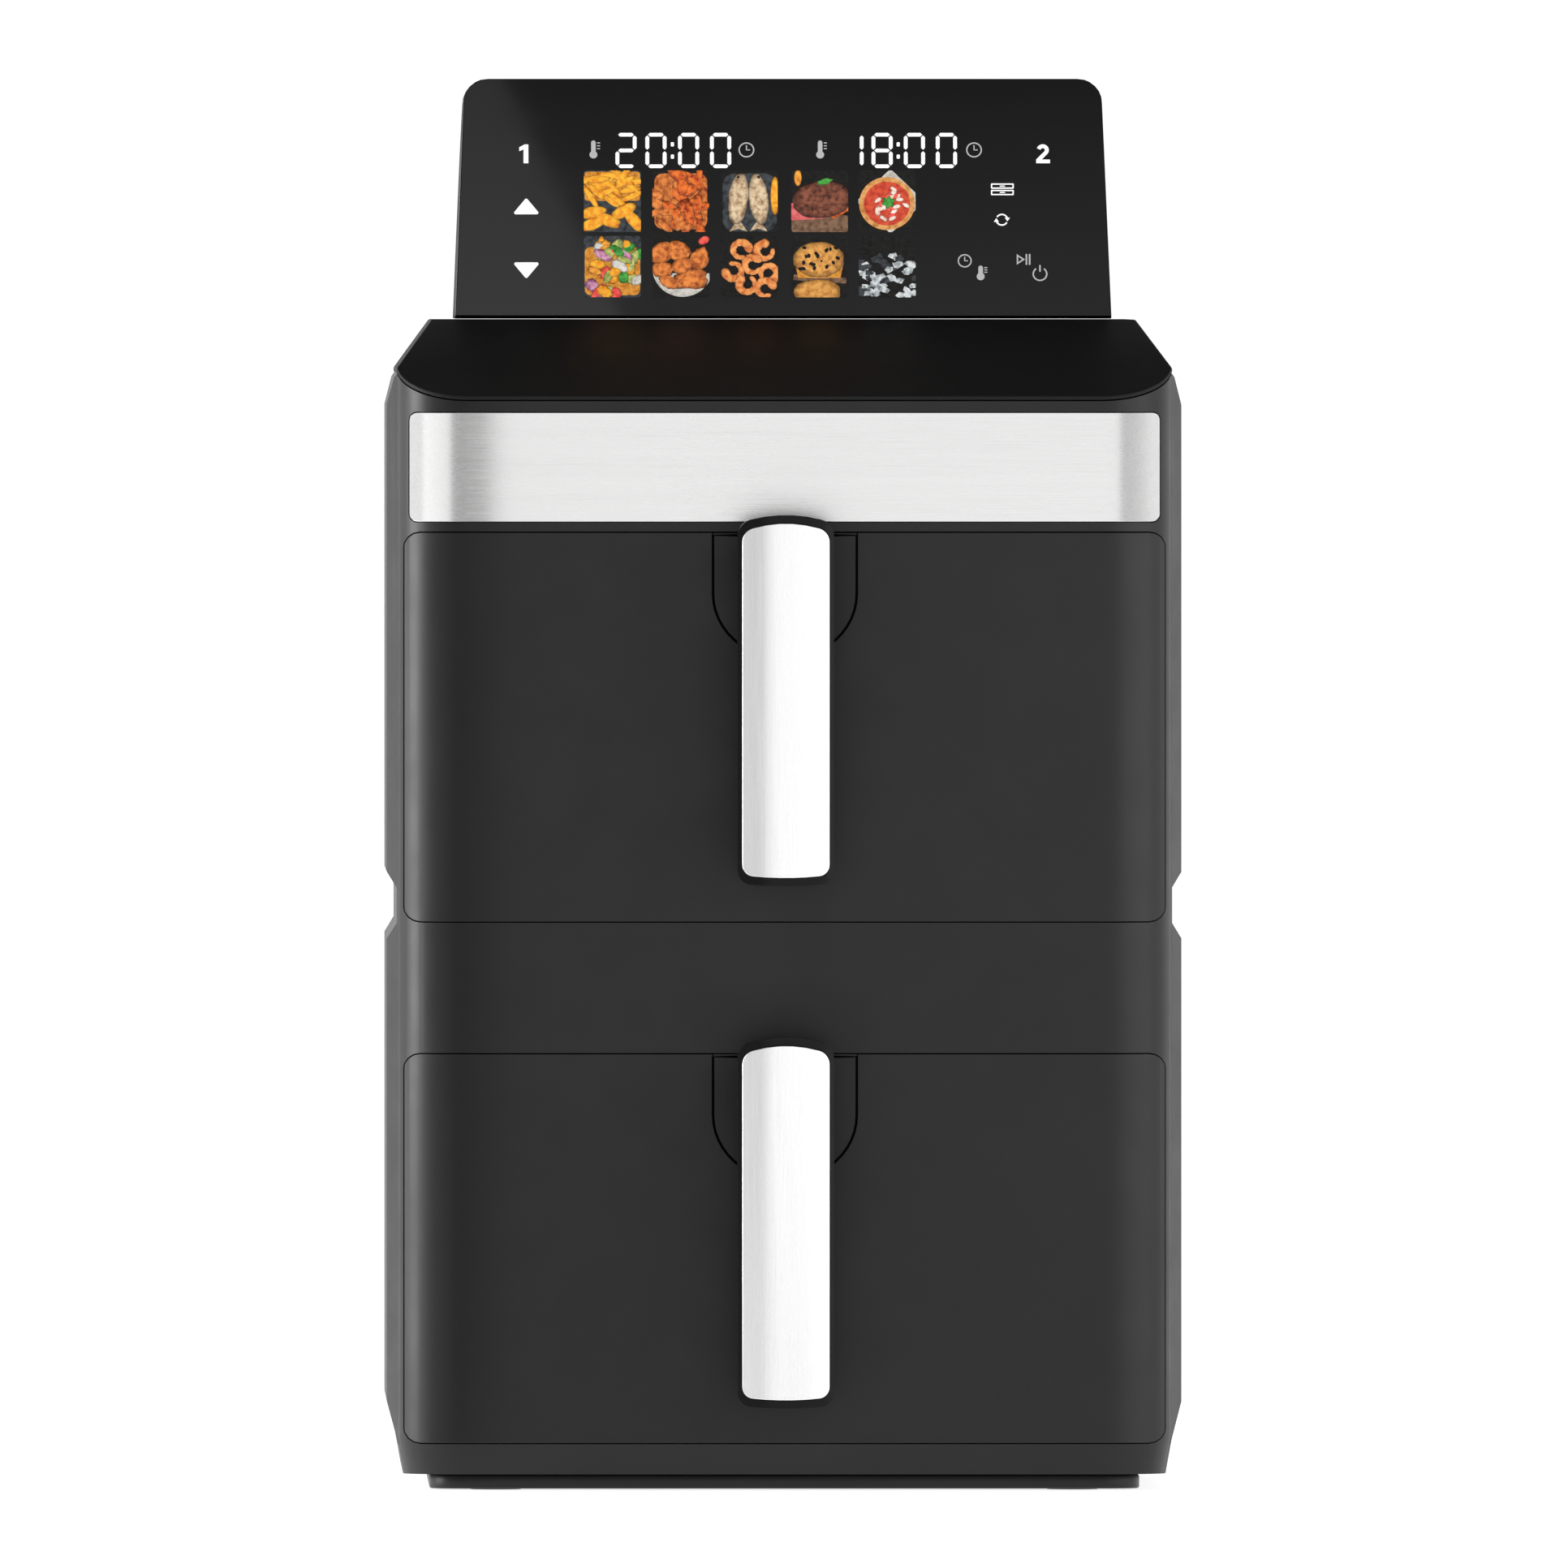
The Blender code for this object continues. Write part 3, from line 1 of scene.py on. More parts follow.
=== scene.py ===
"""A tall air fryer with two stacked drawers.

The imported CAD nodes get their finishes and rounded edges. The printed display, its food pictures and the
joint lines round the handle shields are added, with the stage, light and camera.
"""

import math
import random

import bmesh
import bpy
from mathutils import Matrix, Vector

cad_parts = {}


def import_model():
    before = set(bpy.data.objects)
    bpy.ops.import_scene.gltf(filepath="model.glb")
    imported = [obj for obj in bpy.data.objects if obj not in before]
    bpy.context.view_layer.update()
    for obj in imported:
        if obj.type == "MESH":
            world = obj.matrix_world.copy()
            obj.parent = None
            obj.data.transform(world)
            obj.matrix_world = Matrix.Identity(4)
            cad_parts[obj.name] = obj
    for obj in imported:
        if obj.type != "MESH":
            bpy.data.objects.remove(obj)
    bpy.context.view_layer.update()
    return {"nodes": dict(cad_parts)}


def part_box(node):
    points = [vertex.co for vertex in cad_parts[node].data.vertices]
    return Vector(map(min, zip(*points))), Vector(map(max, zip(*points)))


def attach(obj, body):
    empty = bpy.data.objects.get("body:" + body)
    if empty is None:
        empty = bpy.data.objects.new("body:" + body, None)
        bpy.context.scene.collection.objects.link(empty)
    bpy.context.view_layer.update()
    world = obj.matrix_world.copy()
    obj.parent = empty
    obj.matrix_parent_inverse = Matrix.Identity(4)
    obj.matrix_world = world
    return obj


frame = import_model()
nodes = frame["nodes"]

MM = 0.001
ZONES = ("lower", "upper")

# The display panel: its lean, its thickness and its foot, from the glass's box
LEAN = math.radians(18)
GLASS_THICK = 0.003
GLASS_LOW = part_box("display_glass")[0]
PANEL_FOOT = Vector((0, GLASS_LOW.y, GLASS_LOW.z + GLASS_THICK * math.sin(LEAN)))
PRINT_LIFT = 0.00003
PRINT_THICK = 0.00004

# Camera: a long lens from a little to the left, level with the middle of the fryer
VIEW_AZIMUTH = math.radians(-0.5)
VIEW_ELEVATION = math.radians(0.4)
VIEW_DISTANCE = 25.0
VIEW_PIVOT_Y = -0.11
VIEW_HEIGHT = 0.2399
VIEW_TALL = 0.5322
SENSOR = 36.0

# Rounded edges of the CAD nodes, as bevel widths; an edge is sharp above the angle
SHARP = math.radians(32)
FLAT_ENOUGH = math.radians(0.6)
EDGES = {
    "top_cap": 0.0005,
    "steel_band": 0.0003,
    "display_glass": 0.0004,
    "display_housing": 0.0004,
    "front_frame": 0.0003,
    "side_cover_left": 0.0004,
    "side_cover_right": 0.0004,
    "drawer_front": 0.0005,
    "drawer_panel": 0.0004,
    "handle_base": 0.0003,
    "handle_grip": 0.0004,
    "handle_trim": 0.0004,
    "base_tray": 0.0004,
    "exhaust_duct": 0.0002,
}

# The joint line round a handle shield: its straight drop, the depth of its bowl and its width
SHIELD_STRAIGHT = 0.0208
SHIELD_BOWL = 0.0220
SHIELD_LINE = 0.0009
SHIELD_PROUD = 0.00008

# Display print, in millimetres across and up the panel
DIGIT_WIDE = 7.2
DIGIT_TALL = 12.6
SEGMENT = 1.3
SEGMENTS = {"0": "abcdef", "1": "bc", "2": "abged", "8": "abcdefg"}
READOUT_Y = 59.2
LEFT_FIGURES = (-53.4, -43.2, -32.1, -21.2)
LEFT_COLON = -37.6
RIGHT_FIGURES = (23.9, 33.8, 44.8, 55.7)
RIGHT_COLON = 39.3

# Food pictures, in millimetres: tiles, relief, the step from one shape up to the next, flat shapes' painted
# shade
TILE_WIDE = 19.4
TILE_TALL = 22.0
TILE_CORNER = 1.1
TILE_ROWS = (41.0, 17.6)
TILE_COLUMNS = (-58.1, -34.8, -11.5, 12.5, 35.4)
RELIEF = 0.16
LAYER = 0.012
FLAT_SHADE = 0.6
FLATTENED = 0.5

# Room light: its brightness overhead and in front, and the heights where overhead begins and is full
OVERHEAD_START = 0.30
OVERHEAD_END = 0.62
OVERHEAD = 0.10
FRONTAL = 0.35
BEHIND = 1.05
FLOOR_REACH = 30.0

# Soft lights: place, aim, width, height and radiance
SOFTBOXES = {
    "left_softbox": ((-1.25, -0.02, 0.30), (0, -0.05, 0.22), 0.50, 1.1, 8.5),
    "right_fill": ((1.15, -0.75, 0.30), (0, 0, 0.22), 1.3, 1.1, 1.5),
    "band_left_softbox": ((-0.90, -0.75, 0.35), (-0.12, -0.146, 0.35), 0.95, 0.8, 0.47),
    "front_softbox": ((0.25, -1.5, 0.25), (0.25, 0, 0.25), 1.30, 1.0, 0.50),
}
BAND_LINKS = {"left_softbox": "EXCLUDE", "right_fill": "EXCLUDE", "band_left_softbox": "INCLUDE"}

# The dark card before the front's left end
FLAG_GAP = 0.05
FLAG_LEFT = -0.139
FLAG_RIGHT = -0.103
FLAG_TALL = 0.42

# The cards that the panel mirrors: distance, and their outline as seen on the panel from its foot
CARD_DISTANCE = 0.9
CARD_HALF = 0.16
CARD_LOW = -0.03
CARD_HIGH = 0.115
SLANT_LOW = -0.036
SLANT_HIGH = -0.1035


# Materials


class Finish:
    """A procedural material: its shader, and short calls that add nodes in front of it."""

    def __init__(self, name, roughness=0.5, metallic=0.0, specular=0.5):
        self.material = bpy.data.materials.new(name)
        self.material.use_nodes = True
        self.tree = self.material.node_tree
        self.shader = self.tree.nodes["Principled BSDF"]
        self.shader.inputs["Roughness"].default_value = roughness
        self.shader.inputs["Metallic"].default_value = metallic
        self.shader.inputs["Specular IOR Level"].default_value = specular
        self.place = self.tree.nodes.new("ShaderNodeTexCoord").outputs["Object"]
        self.normal = None

    def link(self, source, target):
        self.tree.links.new(source, target)

    def noise(self, size, stretch=(1, 1, 1), detail=3.0):
        """Noise whose spots are about size metres across, longer along the axes with a small stretch."""
        mapping = self.tree.nodes.new("ShaderNodeMapping")
        mapping.inputs["Scale"].default_value = [s / size for s in stretch]
        self.link(self.place, mapping.inputs["Vector"])
        noise = self.tree.nodes.new("ShaderNodeTexNoise")
        noise.inputs["Scale"].default_value = 1.0
        noise.inputs["Detail"].default_value = detail
        self.link(mapping.outputs["Vector"], noise.inputs["Vector"])
        return noise.outputs["Fac"]

    def cells(self, size):
        """Cells about size metres across: 0 in the middle of each."""
        mapping = self.tree.nodes.new("ShaderNodeMapping")
        mapping.inputs["Scale"].default_value = [1 / size] * 3
        self.link(self.place, mapping.inputs["Vector"])
        cells = self.tree.nodes.new("ShaderNodeTexVoronoi")
        cells.inputs["Scale"].default_value = 1.0
        self.link(mapping.outputs["Vector"], cells.inputs["Vector"])
        return cells.outputs["Distance"]

    def painted(self, name):
        """A value that the mesh holds at each vertex."""
        node = self.tree.nodes.new("ShaderNodeAttribute")
        node.attribute_name = name
        return node.outputs["Fac"]

    def spread(self, value, low, high, start=0.3, end=0.7):
        """Value stretched from start..end to low..high."""
        spread = self.tree.nodes.new("ShaderNodeMapRange")
        for socket, number in (("From Min", start), ("From Max", end), ("To Min", low), ("To Max", high)):
            spread.inputs[socket].default_value = number
        self.link(value, spread.inputs["Value"])
        return spread.outputs["Result"]

    def between(self, value, dark, light):
        """A colour from dark to light as value goes from 0 to 1."""
        mix = self.tree.nodes.new("ShaderNodeMix")
        mix.data_type = "RGBA"
        for socket, colour in ((6, dark), (7, light)):
            if isinstance(colour, bpy.types.NodeSocket):
                self.link(colour, mix.inputs[socket])
            else:
                mix.inputs[socket].default_value = (*colour, 1)
        self.link(value, mix.inputs[0])
        return mix.outputs[2]

    def edges(self, radius):
        """1 on edges that stand out within radius, 0 on flat faces."""
        rounded = self.tree.nodes.new("ShaderNodeBevel")
        rounded.samples = 4
        rounded.inputs["Radius"].default_value = radius
        geometry = self.tree.nodes.new("ShaderNodeNewGeometry")
        dot = self.tree.nodes.new("ShaderNodeVectorMath")
        dot.operation = "DOT_PRODUCT"
        self.link(rounded.outputs["Normal"], dot.inputs[0])
        self.link(geometry.outputs["Normal"], dot.inputs[1])
        return self.spread(dot.outputs["Value"], 1.0, 0.0, 0.75, 0.99)

    def colour(self, source):
        self.link(source, self.shader.inputs["Base Color"])

    def roughness(self, source):
        self.link(source, self.shader.inputs["Roughness"])

    def bump(self, height, distance, strength=1.0):
        """Adds a bump of the given depth in metres on top of any that is there."""
        bump = self.tree.nodes.new("ShaderNodeBump")
        bump.inputs["Strength"].default_value = strength
        bump.inputs["Distance"].default_value = distance
        self.link(height, bump.inputs["Height"])
        if self.normal is not None:
            self.link(self.normal, bump.inputs["Normal"])
        self.normal = bump.outputs["Normal"]
        self.link(self.normal, self.shader.inputs["Normal"])


def grey(level, warm=0.0):
    """A linear grey, a little warm where warm is above 0."""
    return (level * (1 + warm), level, level * (1 - warm))


def moulded(name, level, rough, specular, grain=0.0007, depth=0.000012, worn=1.6):
    """Moulded plastic: fine spark-eroded grain, cloudy gloss, and edges polished a little lighter."""
    made = Finish(name, specular=specular)
    cloud = made.noise(0.045, detail=4)
    base = made.between(made.spread(cloud, 0, 1), grey(level * 0.90), grey(level * 1.10))
    made.colour(made.between(made.edges(0.0006), base, grey(level * worn)))
    patches = made.spread(made.noise(0.018, detail=5), rough - 0.035, rough + 0.035)
    made.roughness(patches)
    made.bump(made.noise(grain, detail=4), depth, 0.6)
    made.bump(made.cells(grain * 0.55), depth * 0.6, 0.35)
    return made.material


def brushed(name, level, rough, stretch, warm=0.0, line=0.00035, depth=0.000004, shade=0.06):
    """Metal brushed along the axis whose stretch is small."""
    made = Finish(name, metallic=1.0)
    lines = made.noise(line, stretch, detail=5)
    broad = made.noise(line * 9, stretch, detail=2)
    dark = grey(level * (1 - shade), warm)
    light = grey(min(1.0, level * (1 + shade)), warm)
    fine = made.between(made.spread(lines, 0, 1), dark, light)
    made.colour(made.between(made.spread(broad, 0, 0.5), fine, light))
    made.roughness(made.spread(lines, rough - 0.05, rough + 0.07))
    made.bump(lines, depth, 0.5)
    return made.material


def sheet_metal(name, level, rough, warm=0.0, stain=None, spot=0.012):
    """Rolled sheet: faint rolling lines, spangle and handling marks, with stains if a colour is given."""
    made = Finish(name, metallic=1.0)
    rolled = made.noise(0.0006, (0.03, 1, 1), detail=3)
    patch = made.noise(spot, detail=6)
    base = made.between(made.spread(patch, 0, 1), grey(level * 0.86, warm), grey(level * 1.08, warm))
    if stain:
        base = made.between(made.spread(made.noise(0.03, detail=5), 0, 0.55, 0.5, 0.75), base, stain)
    made.colour(base)
    made.roughness(made.spread(patch, rough - 0.07, rough + 0.08))
    made.bump(rolled, 0.000006, 0.5)
    return made.material


def coated(name, level):
    """Dark non-stick coating: an orange-peel surface with tiny pale flecks."""
    made = Finish(name, specular=0.45)
    fleck = made.spread(made.cells(0.0016), 1, 0, 0.04, 0.12)
    base = made.between(made.spread(made.noise(0.02), 0, 1), grey(level * 0.85), grey(level * 1.15))
    made.colour(made.between(made.spread(fleck, 0, 0.5, 0, 1), base, grey(level * 4)))
    made.roughness(made.spread(made.noise(0.006, detail=4), 0.33, 0.46))
    made.bump(made.noise(0.0022, detail=2), 0.00003, 0.5)
    return made.material


def rubbery(name, level, grain=0.0009, specular=0.25):
    """Matt rubber or silicone with a dusty bloom."""
    made = Finish(name, specular=specular)
    bloom = made.noise(0.004, detail=6)
    made.colour(made.between(made.spread(bloom, 0, 1), grey(level * 0.8), grey(level * 1.25)))
    made.roughness(made.spread(bloom, 0.62, 0.82))
    made.bump(made.noise(grain), 0.00003, 0.5)
    return made.material


def panel_glass(name):
    """The black touch panel: a gloss face over a black ground, with faint wiping marks."""
    made = Finish(name, specular=0.5)
    wiped = made.noise(0.02, (0.25, 1, 1), detail=5)
    made.colour(made.between(made.spread(wiped, 0, 1), grey(0.0042), grey(0.0058)))
    made.roughness(made.spread(wiped, 0.035, 0.075))
    made.bump(made.noise(0.06, detail=1), 0.00002, 0.2)
    return made.material


def resist(name, mask_green):
    """Circuit board: solder resist over copper tracks."""
    made = Finish(name, specular=0.5)
    track = made.spread(made.noise(0.004, (1, 1, 0.35), detail=0), 0, 1, 0.49, 0.51)
    made.colour(made.between(track, mask_green, tuple(c * 1.7 for c in mask_green)))
    made.roughness(made.spread(made.noise(0.01), 0.3, 0.42))
    made.bump(track, 0.00003, 0.4)
    return made.material


def lit(name, colour, strength):
    """Display print that is lit from behind, with a slightly uneven glow."""
    made = Finish(name, roughness=0.35)
    glow = made.spread(made.noise(0.004, detail=3), 0, 1)
    shade = made.between(glow, tuple(c * 0.93 for c in colour), colour)
    made.colour(shade)
    made.link(shade, made.shader.inputs["Emission Color"])
    made.shader.inputs["Emission Strength"].default_value = strength
    return made.material


def food(name, dark, light, size=0.0016, glow=0.42):
    """Mottled food for the small pictures: dark to light over spots, and painted shadow round each piece."""
    made = Finish(name, roughness=0.45)
    spots = made.spread(made.noise(size, detail=5), 0, 1, 0.30, 0.62)
    # painted shade: near black where a lump's rim is low, full colour on its top
    painted_rim_shade = made.spread(made.painted("painted_rim_shade"), 0, 1, 0.0, 0.75)
    shade = made.between(painted_rim_shade, tuple(c * 0.06 for c in dark), made.between(spots, dark, light))
    made.colour(shade)
    made.link(shade, made.shader.inputs["Emission Color"])
    made.shader.inputs["Emission Strength"].default_value = glow
    made.bump(made.noise(size * 0.6, detail=4), 0.0002, 0.7)
    return made.material


FINISHES = {
    "housing_plastic": moulded("satin_housing_plastic", 0.0070, 0.40, 0.36),
    "cap_plastic": moulded("satin_cap_plastic", 0.0092, 0.60, 0.22, grain=0.0012, depth=0.000004, worn=2.0),
    "band_steel": brushed("brushed_band_steel", 0.72, 0.24, (0.012, 1, 1), warm=0.002),
    "handle_metal": brushed("satin_handle_metal", 0.86, 0.25, (1, 1, 0.012), depth=0.0000015, shade=0.015),
    "display_glass": panel_glass("display_panel_glass"),
    "black_rubber": rubbery("foot_rubber", 0.010),
    "seal_silicone": rubbery("ring_silicone", 0.045, 0.0014),
    "coated_steel": coated("non_stick_coating", 0.022),
    "chamber_steel": sheet_metal("chamber_sheet", 0.40, 0.38, 0.01, stain=(0.24, 0.19, 0.13)),
    "heater_steel": sheet_metal("heater_tube", 0.16, 0.42, 0.06, stain=(0.16, 0.09, 0.06), spot=0.02),
    "fan_aluminium": sheet_metal("fan_aluminium", 0.66, 0.34),
    "motor_steel": sheet_metal("motor_can", 0.34, 0.33),
    "circuit_board": resist("green_solder_resist", (0.008, 0.075, 0.030)),
    "switch_plastic": moulded("switch_plastic", 0.55, 0.45, 0.5, worn=1.05),
    "screw_steel": sheet_metal("zinc_plate", 0.50, 0.28, 0.03),
}

GRIP_GLOSS = moulded("gloss_grip_plastic", 0.0018, 0.20, 0.18, grain=0.0012, depth=0.000003, worn=2.4)
# a near-black, almost glossless strip: painted shadow standing in for the joint round each handle shield
SEAM_PAINTED_SHADOW = rubbery("seam_shadow_line", 0.0006, specular=0.02)
WHITE_PRINT = lit("white_print", (0.92, 0.92, 0.92), 0.55)
DIM_PRINT = lit("dim_print", (0.42, 0.42, 0.42), 0.55)


def smooth_shading(node):
    """Joins a CAD node's split faces and shades its round faces smoothly, with modifiers alone."""
    mesh = node.data
    if "custom_normal" in mesh.attributes:
        mesh.attributes.remove(mesh.attributes["custom_normal"])
    mesh.polygons.foreach_set("use_smooth", [True] * len(mesh.polygons))
    weld = node.modifiers.new("weld", "WELD")
    weld.merge_threshold = 0.00001


def round_edges(node, width):
    """Rounds a CAD node's edges and keeps its flat faces flat."""
    plane = node.modifiers.new("plane", "DECIMATE")
    plane.decimate_type = "DISSOLVE"
    plane.angle_limit = FLAT_ENOUGH
    bevel = node.modifiers.new("bevel", "BEVEL")
    bevel.width = width
    bevel.segments = 2
    bevel.limit_method = "ANGLE"
    bevel.angle_limit = SHARP
    bevel.harden_normals = True


def split_edges(node):
    split = node.modifiers.new("split", "EDGE_SPLIT")
    split.split_angle = SHARP


def finish_cad_nodes():
    for name, node in nodes.items():
        slot = node.data.materials[0].name.split(".")[0]
        node.material_slots[0].material = FINISHES[slot]
        plain_name = name.removeprefix("lower_").removeprefix("upper_")
        if plain_name == "handle_grip":
            node.material_slots[0].material = GRIP_GLOSS
        smooth_shading(node)
        if plain_name in EDGES:
            round_edges(node, EDGES[plain_name])
        else:
            split_edges(node)


def shield_lines():
    """The joint between each drawer's front and the shield that carries its handle, as a thin strip of
    painted shadow.
    """
    for zone in ZONES:
        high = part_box(zone + "_handle_base")[1]
        half = high.x
        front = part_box(zone + "_drawer_front")[0].y
        bend = high.z - SHIELD_STRAIGHT
        top = high.z - SHIELD_LINE
        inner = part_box(zone + "_handle_grip")[1].x - SHIELD_LINE
        path = [(inner, top), (half, top)]
        steps = 24
        for i in range(steps + 1):
            angle = math.pi * i / steps
            path.append((half * math.cos(angle), bend - SHIELD_BOWL * math.sin(angle)))
        path += [(-half, top), (-inner, top)]
        band = stroke(path, SHIELD_LINE)
        edit = bmesh.new()
        count = len(path)
        for depth in (0.0, SHIELD_PROUD):
            for x, z in band:
                edit.verts.new((x, front - depth, z))
        edit.verts.ensure_lookup_table()
        total = len(band)
        for i in range(count - 1):
            here, there = i, total - 1 - i
            for base, flip in ((0, False), (total, True)):
                corners = [edit.verts[base + k] for k in (here, here + 1, there - 1, there)]
                edit.faces.new(corners[::-1] if flip else corners)
        for i in range(total):
            j = (i + 1) % total
            edit.faces.new([edit.verts[k] for k in (i, j, total + j, total + i)])
        bmesh.ops.recalc_face_normals(edit, faces=edit.faces)
        mesh = bpy.data.meshes.new(zone + "_shield_joint")
        edit.to_mesh(mesh)
        edit.free()
        add_piece(zone + "_shield_joint", mesh, [SEAM_PAINTED_SHADOW], zone + "_drawer")


# Small shapes and display print, in millimetres on the panel: x to the right, y up from the panel's foot


def on_panel(x, y, lift=0.0):
    """A point of the panel's front face in metres, from millimetres across and up it."""
    up = y * MM
    out = PRINT_LIFT + lift
    return Vector(
        (
            x * MM,
            PANEL_FOOT.y + up * math.sin(LEAN) - out * math.cos(LEAN),
            PANEL_FOOT.z + up * math.cos(LEAN) + out * math.sin(LEAN),
        )
    )


def arc(x, y, radius, start, end, steps):
    """Points on an arc, anticlockwise from start to end in degrees."""
    points = []
    for i in range(steps + 1):
        angle = math.radians(start + (end - start) * i / steps)
        points.append((x + radius * math.cos(angle), y + radius * math.sin(angle)))
    return points


def moved(outline, x, y, turn=0.0):
    c, s = math.cos(math.radians(turn)), math.sin(math.radians(turn))
    return [(x + px * c - py * s, y + px * s + py * c) for px, py in outline]


def rounded(half_wide, half_tall, radius, steps=4):
    """A rounded rectangle about the origin."""
    points = []
    for sx, sy, start in ((1, 1, 0), (-1, 1, 90), (-1, -1, 180), (1, -1, 270)):
        points += arc(sx * (half_wide - radius), sy * (half_tall - radius), radius, start, start + 90, steps)
    return points


def stroke(points, width):
    """A band of even width along an open line."""
    left, right = [], []
    for i, (x, y) in enumerate(points):
        before = points[max(i - 1, 0)]
        after = points[min(i + 1, len(points) - 1)]
        dx, dy = after[0] - before[0], after[1] - before[1]
        length = math.hypot(dx, dy)
        nx, ny = -dy / length * width / 2, dx / length * width / 2
        left.append((x + nx, y + ny))
        right.append((x - nx, y - ny))
    return left + right[::-1]


def outline_mesh(name, outlines, lift=0.0, thick=PRINT_THICK):
    """A thin solid for each outline, or for an outline with its holes, lying on the panel."""
    edit = bmesh.new()
    for item in outlines:
        rings = item if isinstance(item[0][0], (tuple, list)) else [item]
        edges = []
        for ring in rings:
            corners = [edit.verts.new((x, y, 0)) for x, y in ring]
            edges += [edit.edges.new((a, b)) for a, b in zip(corners, corners[1:] + corners[:1])]
        bmesh.ops.triangle_fill(edit, edges=edges, use_beauty=True, normal=(0, 0, 1))
    bmesh.ops.recalc_face_normals(edit, faces=edit.faces)
    for face in edit.faces:
        if face.normal.z < 0:
            face.normal_flip()
    fronts = list(edit.faces)
    grown = bmesh.ops.extrude_face_region(edit, geom=fronts)
    for vertex in [g for g in grown["geom"] if isinstance(g, bmesh.types.BMVert)]:
        vertex.co.z = thick / MM
    bmesh.ops.delete(edit, geom=fronts, context="FACES_ONLY")
    for vertex in edit.verts:
        vertex.co = on_panel(vertex.co.x, vertex.co.y, lift + vertex.co.z * MM)
    bmesh.ops.recalc_face_normals(edit, faces=edit.faces)
    mesh = bpy.data.meshes.new(name)
    edit.to_mesh(mesh)
    edit.free()
    return mesh


def add_piece(name, mesh, materials, body):
    piece = bpy.data.objects.new(name, mesh)
    bpy.context.scene.collection.objects.link(piece)
    for material in materials:
        mesh.materials.append(material)
    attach(piece, body)
    return piece


def printed(name, outlines, material=WHITE_PRINT):
    return add_piece(name, outline_mesh(name, outlines), [material], "housing")


def bar(x0, y0, x1, y1):
    """One display segment: a bar with pointed ends."""
    dx, dy = x1 - x0, y1 - y0
    length = math.hypot(dx, dy)
    ux, uy = dx / length, dy / length
    half = SEGMENT / 2
    gap = half * 0.45
    ends = (gap, gap + half, length - gap - half, length - gap)
    sides = (0, half, half, 0)
    upper = [(x0 + ux * e - uy * s, y0 + uy * e + ux * s) for e, s in zip(ends, sides)]
    lower = [(x0 + ux * e + uy * s, y0 + uy * e - ux * s) for e, s in zip(ends[2:0:-1], sides[2:0:-1])]
    return upper + lower


def digit(figure, x, y):
    """A seven-segment figure centred on x, y."""
    w, t = (DIGIT_WIDE - SEGMENT) / 2, (DIGIT_TALL - SEGMENT) / 2
    ends = {
        "a": (-w, t, w, t), "b": (w, t, w, 0), "c": (w, 0, w, -t), "d": (-w, -t, w, -t),
        "e": (-w, 0, -w, -t), "f": (-w, t, -w, 0), "g": (-w, 0, w, 0),
    }
    return [bar(x + x0, y + y0, x + x1, y + y1) for x0, y0, x1, y1 in (ends[s] for s in SEGMENTS[figure])]


def countdown(name, figures, places, colon_x, y):
    outlines = []
    for figure, x in zip(figures, places):
        outlines += digit(figure, x, y)
    outlines += [moved(rounded(0.55, 0.75, 0.3, 2), colon_x, y + dy) for dy in (-2.2, 2.2)]
    printed(name, outlines)


def clock(x, y, radius=2.7):
    ring = [arc(x, y, radius, 0, 350, 35), arc(x, y, radius - 0.45, 0, 350, 35)]
    hands = stroke([(x, y + radius * 0.6), (x, y), (x + radius * 0.45, y)], 0.42)
    return [ring, hands]


def thermometer(x, y, tall=6.4):
    low = y - tall / 2
    body = arc(x, low + 1.3, 1.35, 125, 415, 16) + arc(x, y + tall / 2 - 0.8, 0.78, 0, 180, 8)
    marks = [moved(rounded(0.55, 0.18, 0.1, 1), x + 1.75, y + tall * k) for k in (0.36, 0.2, 0.04)]
    return [body] + marks


def arrow(x, y, turn):
    """A triangle with rounded corners."""
    points = []
    for px, py, start in ((3.6, -2.3, -90), (0, 2.2, 30), (-3.6, -2.3, 150)):
        points += arc(px, py, 0.55, start, start + 120, 4)
    return moved(points, x, y, turn)


def play_pause(x, y):
    play = [[(x - 2.4, y - 1.9), (x + 0.4, y), (x - 2.4, y + 1.9)],
            [(x - 1.9, y - 1.0), (x - 0.5, y), (x - 1.9, y + 1.0)]]
    bars = [moved(rounded(0.28, 1.95, 0.1, 1), x + dx, y) for dx in (0.9, 2.0)]
    return [play] + bars


def power(x, y):
    ring = stroke(arc(x, y, 2.3, 125, 415, 28), 0.5)
    return [ring, moved(rounded(0.27, 1.2, 0.1, 1), x, y + 2.0)]


def two_drawers(x, y):
    """Both drawers at once: two framed boxes, one above the other."""
    boxes = []
    for dy in (-1.15, 1.15):
        frame_line = [rounded(3.9, 0.95, 0.3, 2), rounded(3.45, 0.5, 0.2, 2)]
        boxes.append([moved(ring, x, y + dy) for ring in frame_line])
        boxes.append(moved(rounded(0.9, 0.18, 0.1, 1), x, y + dy))
    return boxes


def in_step(x, y):
    """Both drawers ending together: two arrows that chase each other round."""
    shapes = []
    for turn in (0, 180):
        shapes.append(moved(stroke(arc(0, 0, 1.9, 20, 150, 14), 0.5), x, y, turn))
        shapes.append(moved([(1.0, 0.75), (2.75, 0.75), (1.9, -0.55)], x, y, turn))
    return shapes


def figure_one(x, y):
    """A bold 1 with its flag."""
    stem = [(-0.3, -3.35), (1.35, -3.35), (1.35, 3.35)]
    flag = [(0.1, 3.35), (-1.75, 2.35), (-1.75, 0.95), (-0.3, 1.6)]
    return [moved(stem + flag, x, y)]


def figure_two(x, y):
    """A bold 2: a bowl that runs down to a bar."""
    bowl = stroke(arc(0, 1.35, 1.4, 165, -35, 14) + [(-1.75, -2.5)], 1.35)
    foot = moved(rounded(2.35, 0.65, 0.05, 1), 0.1, -2.7)
    return [moved(bowl, x, y), moved(foot, x, y)]


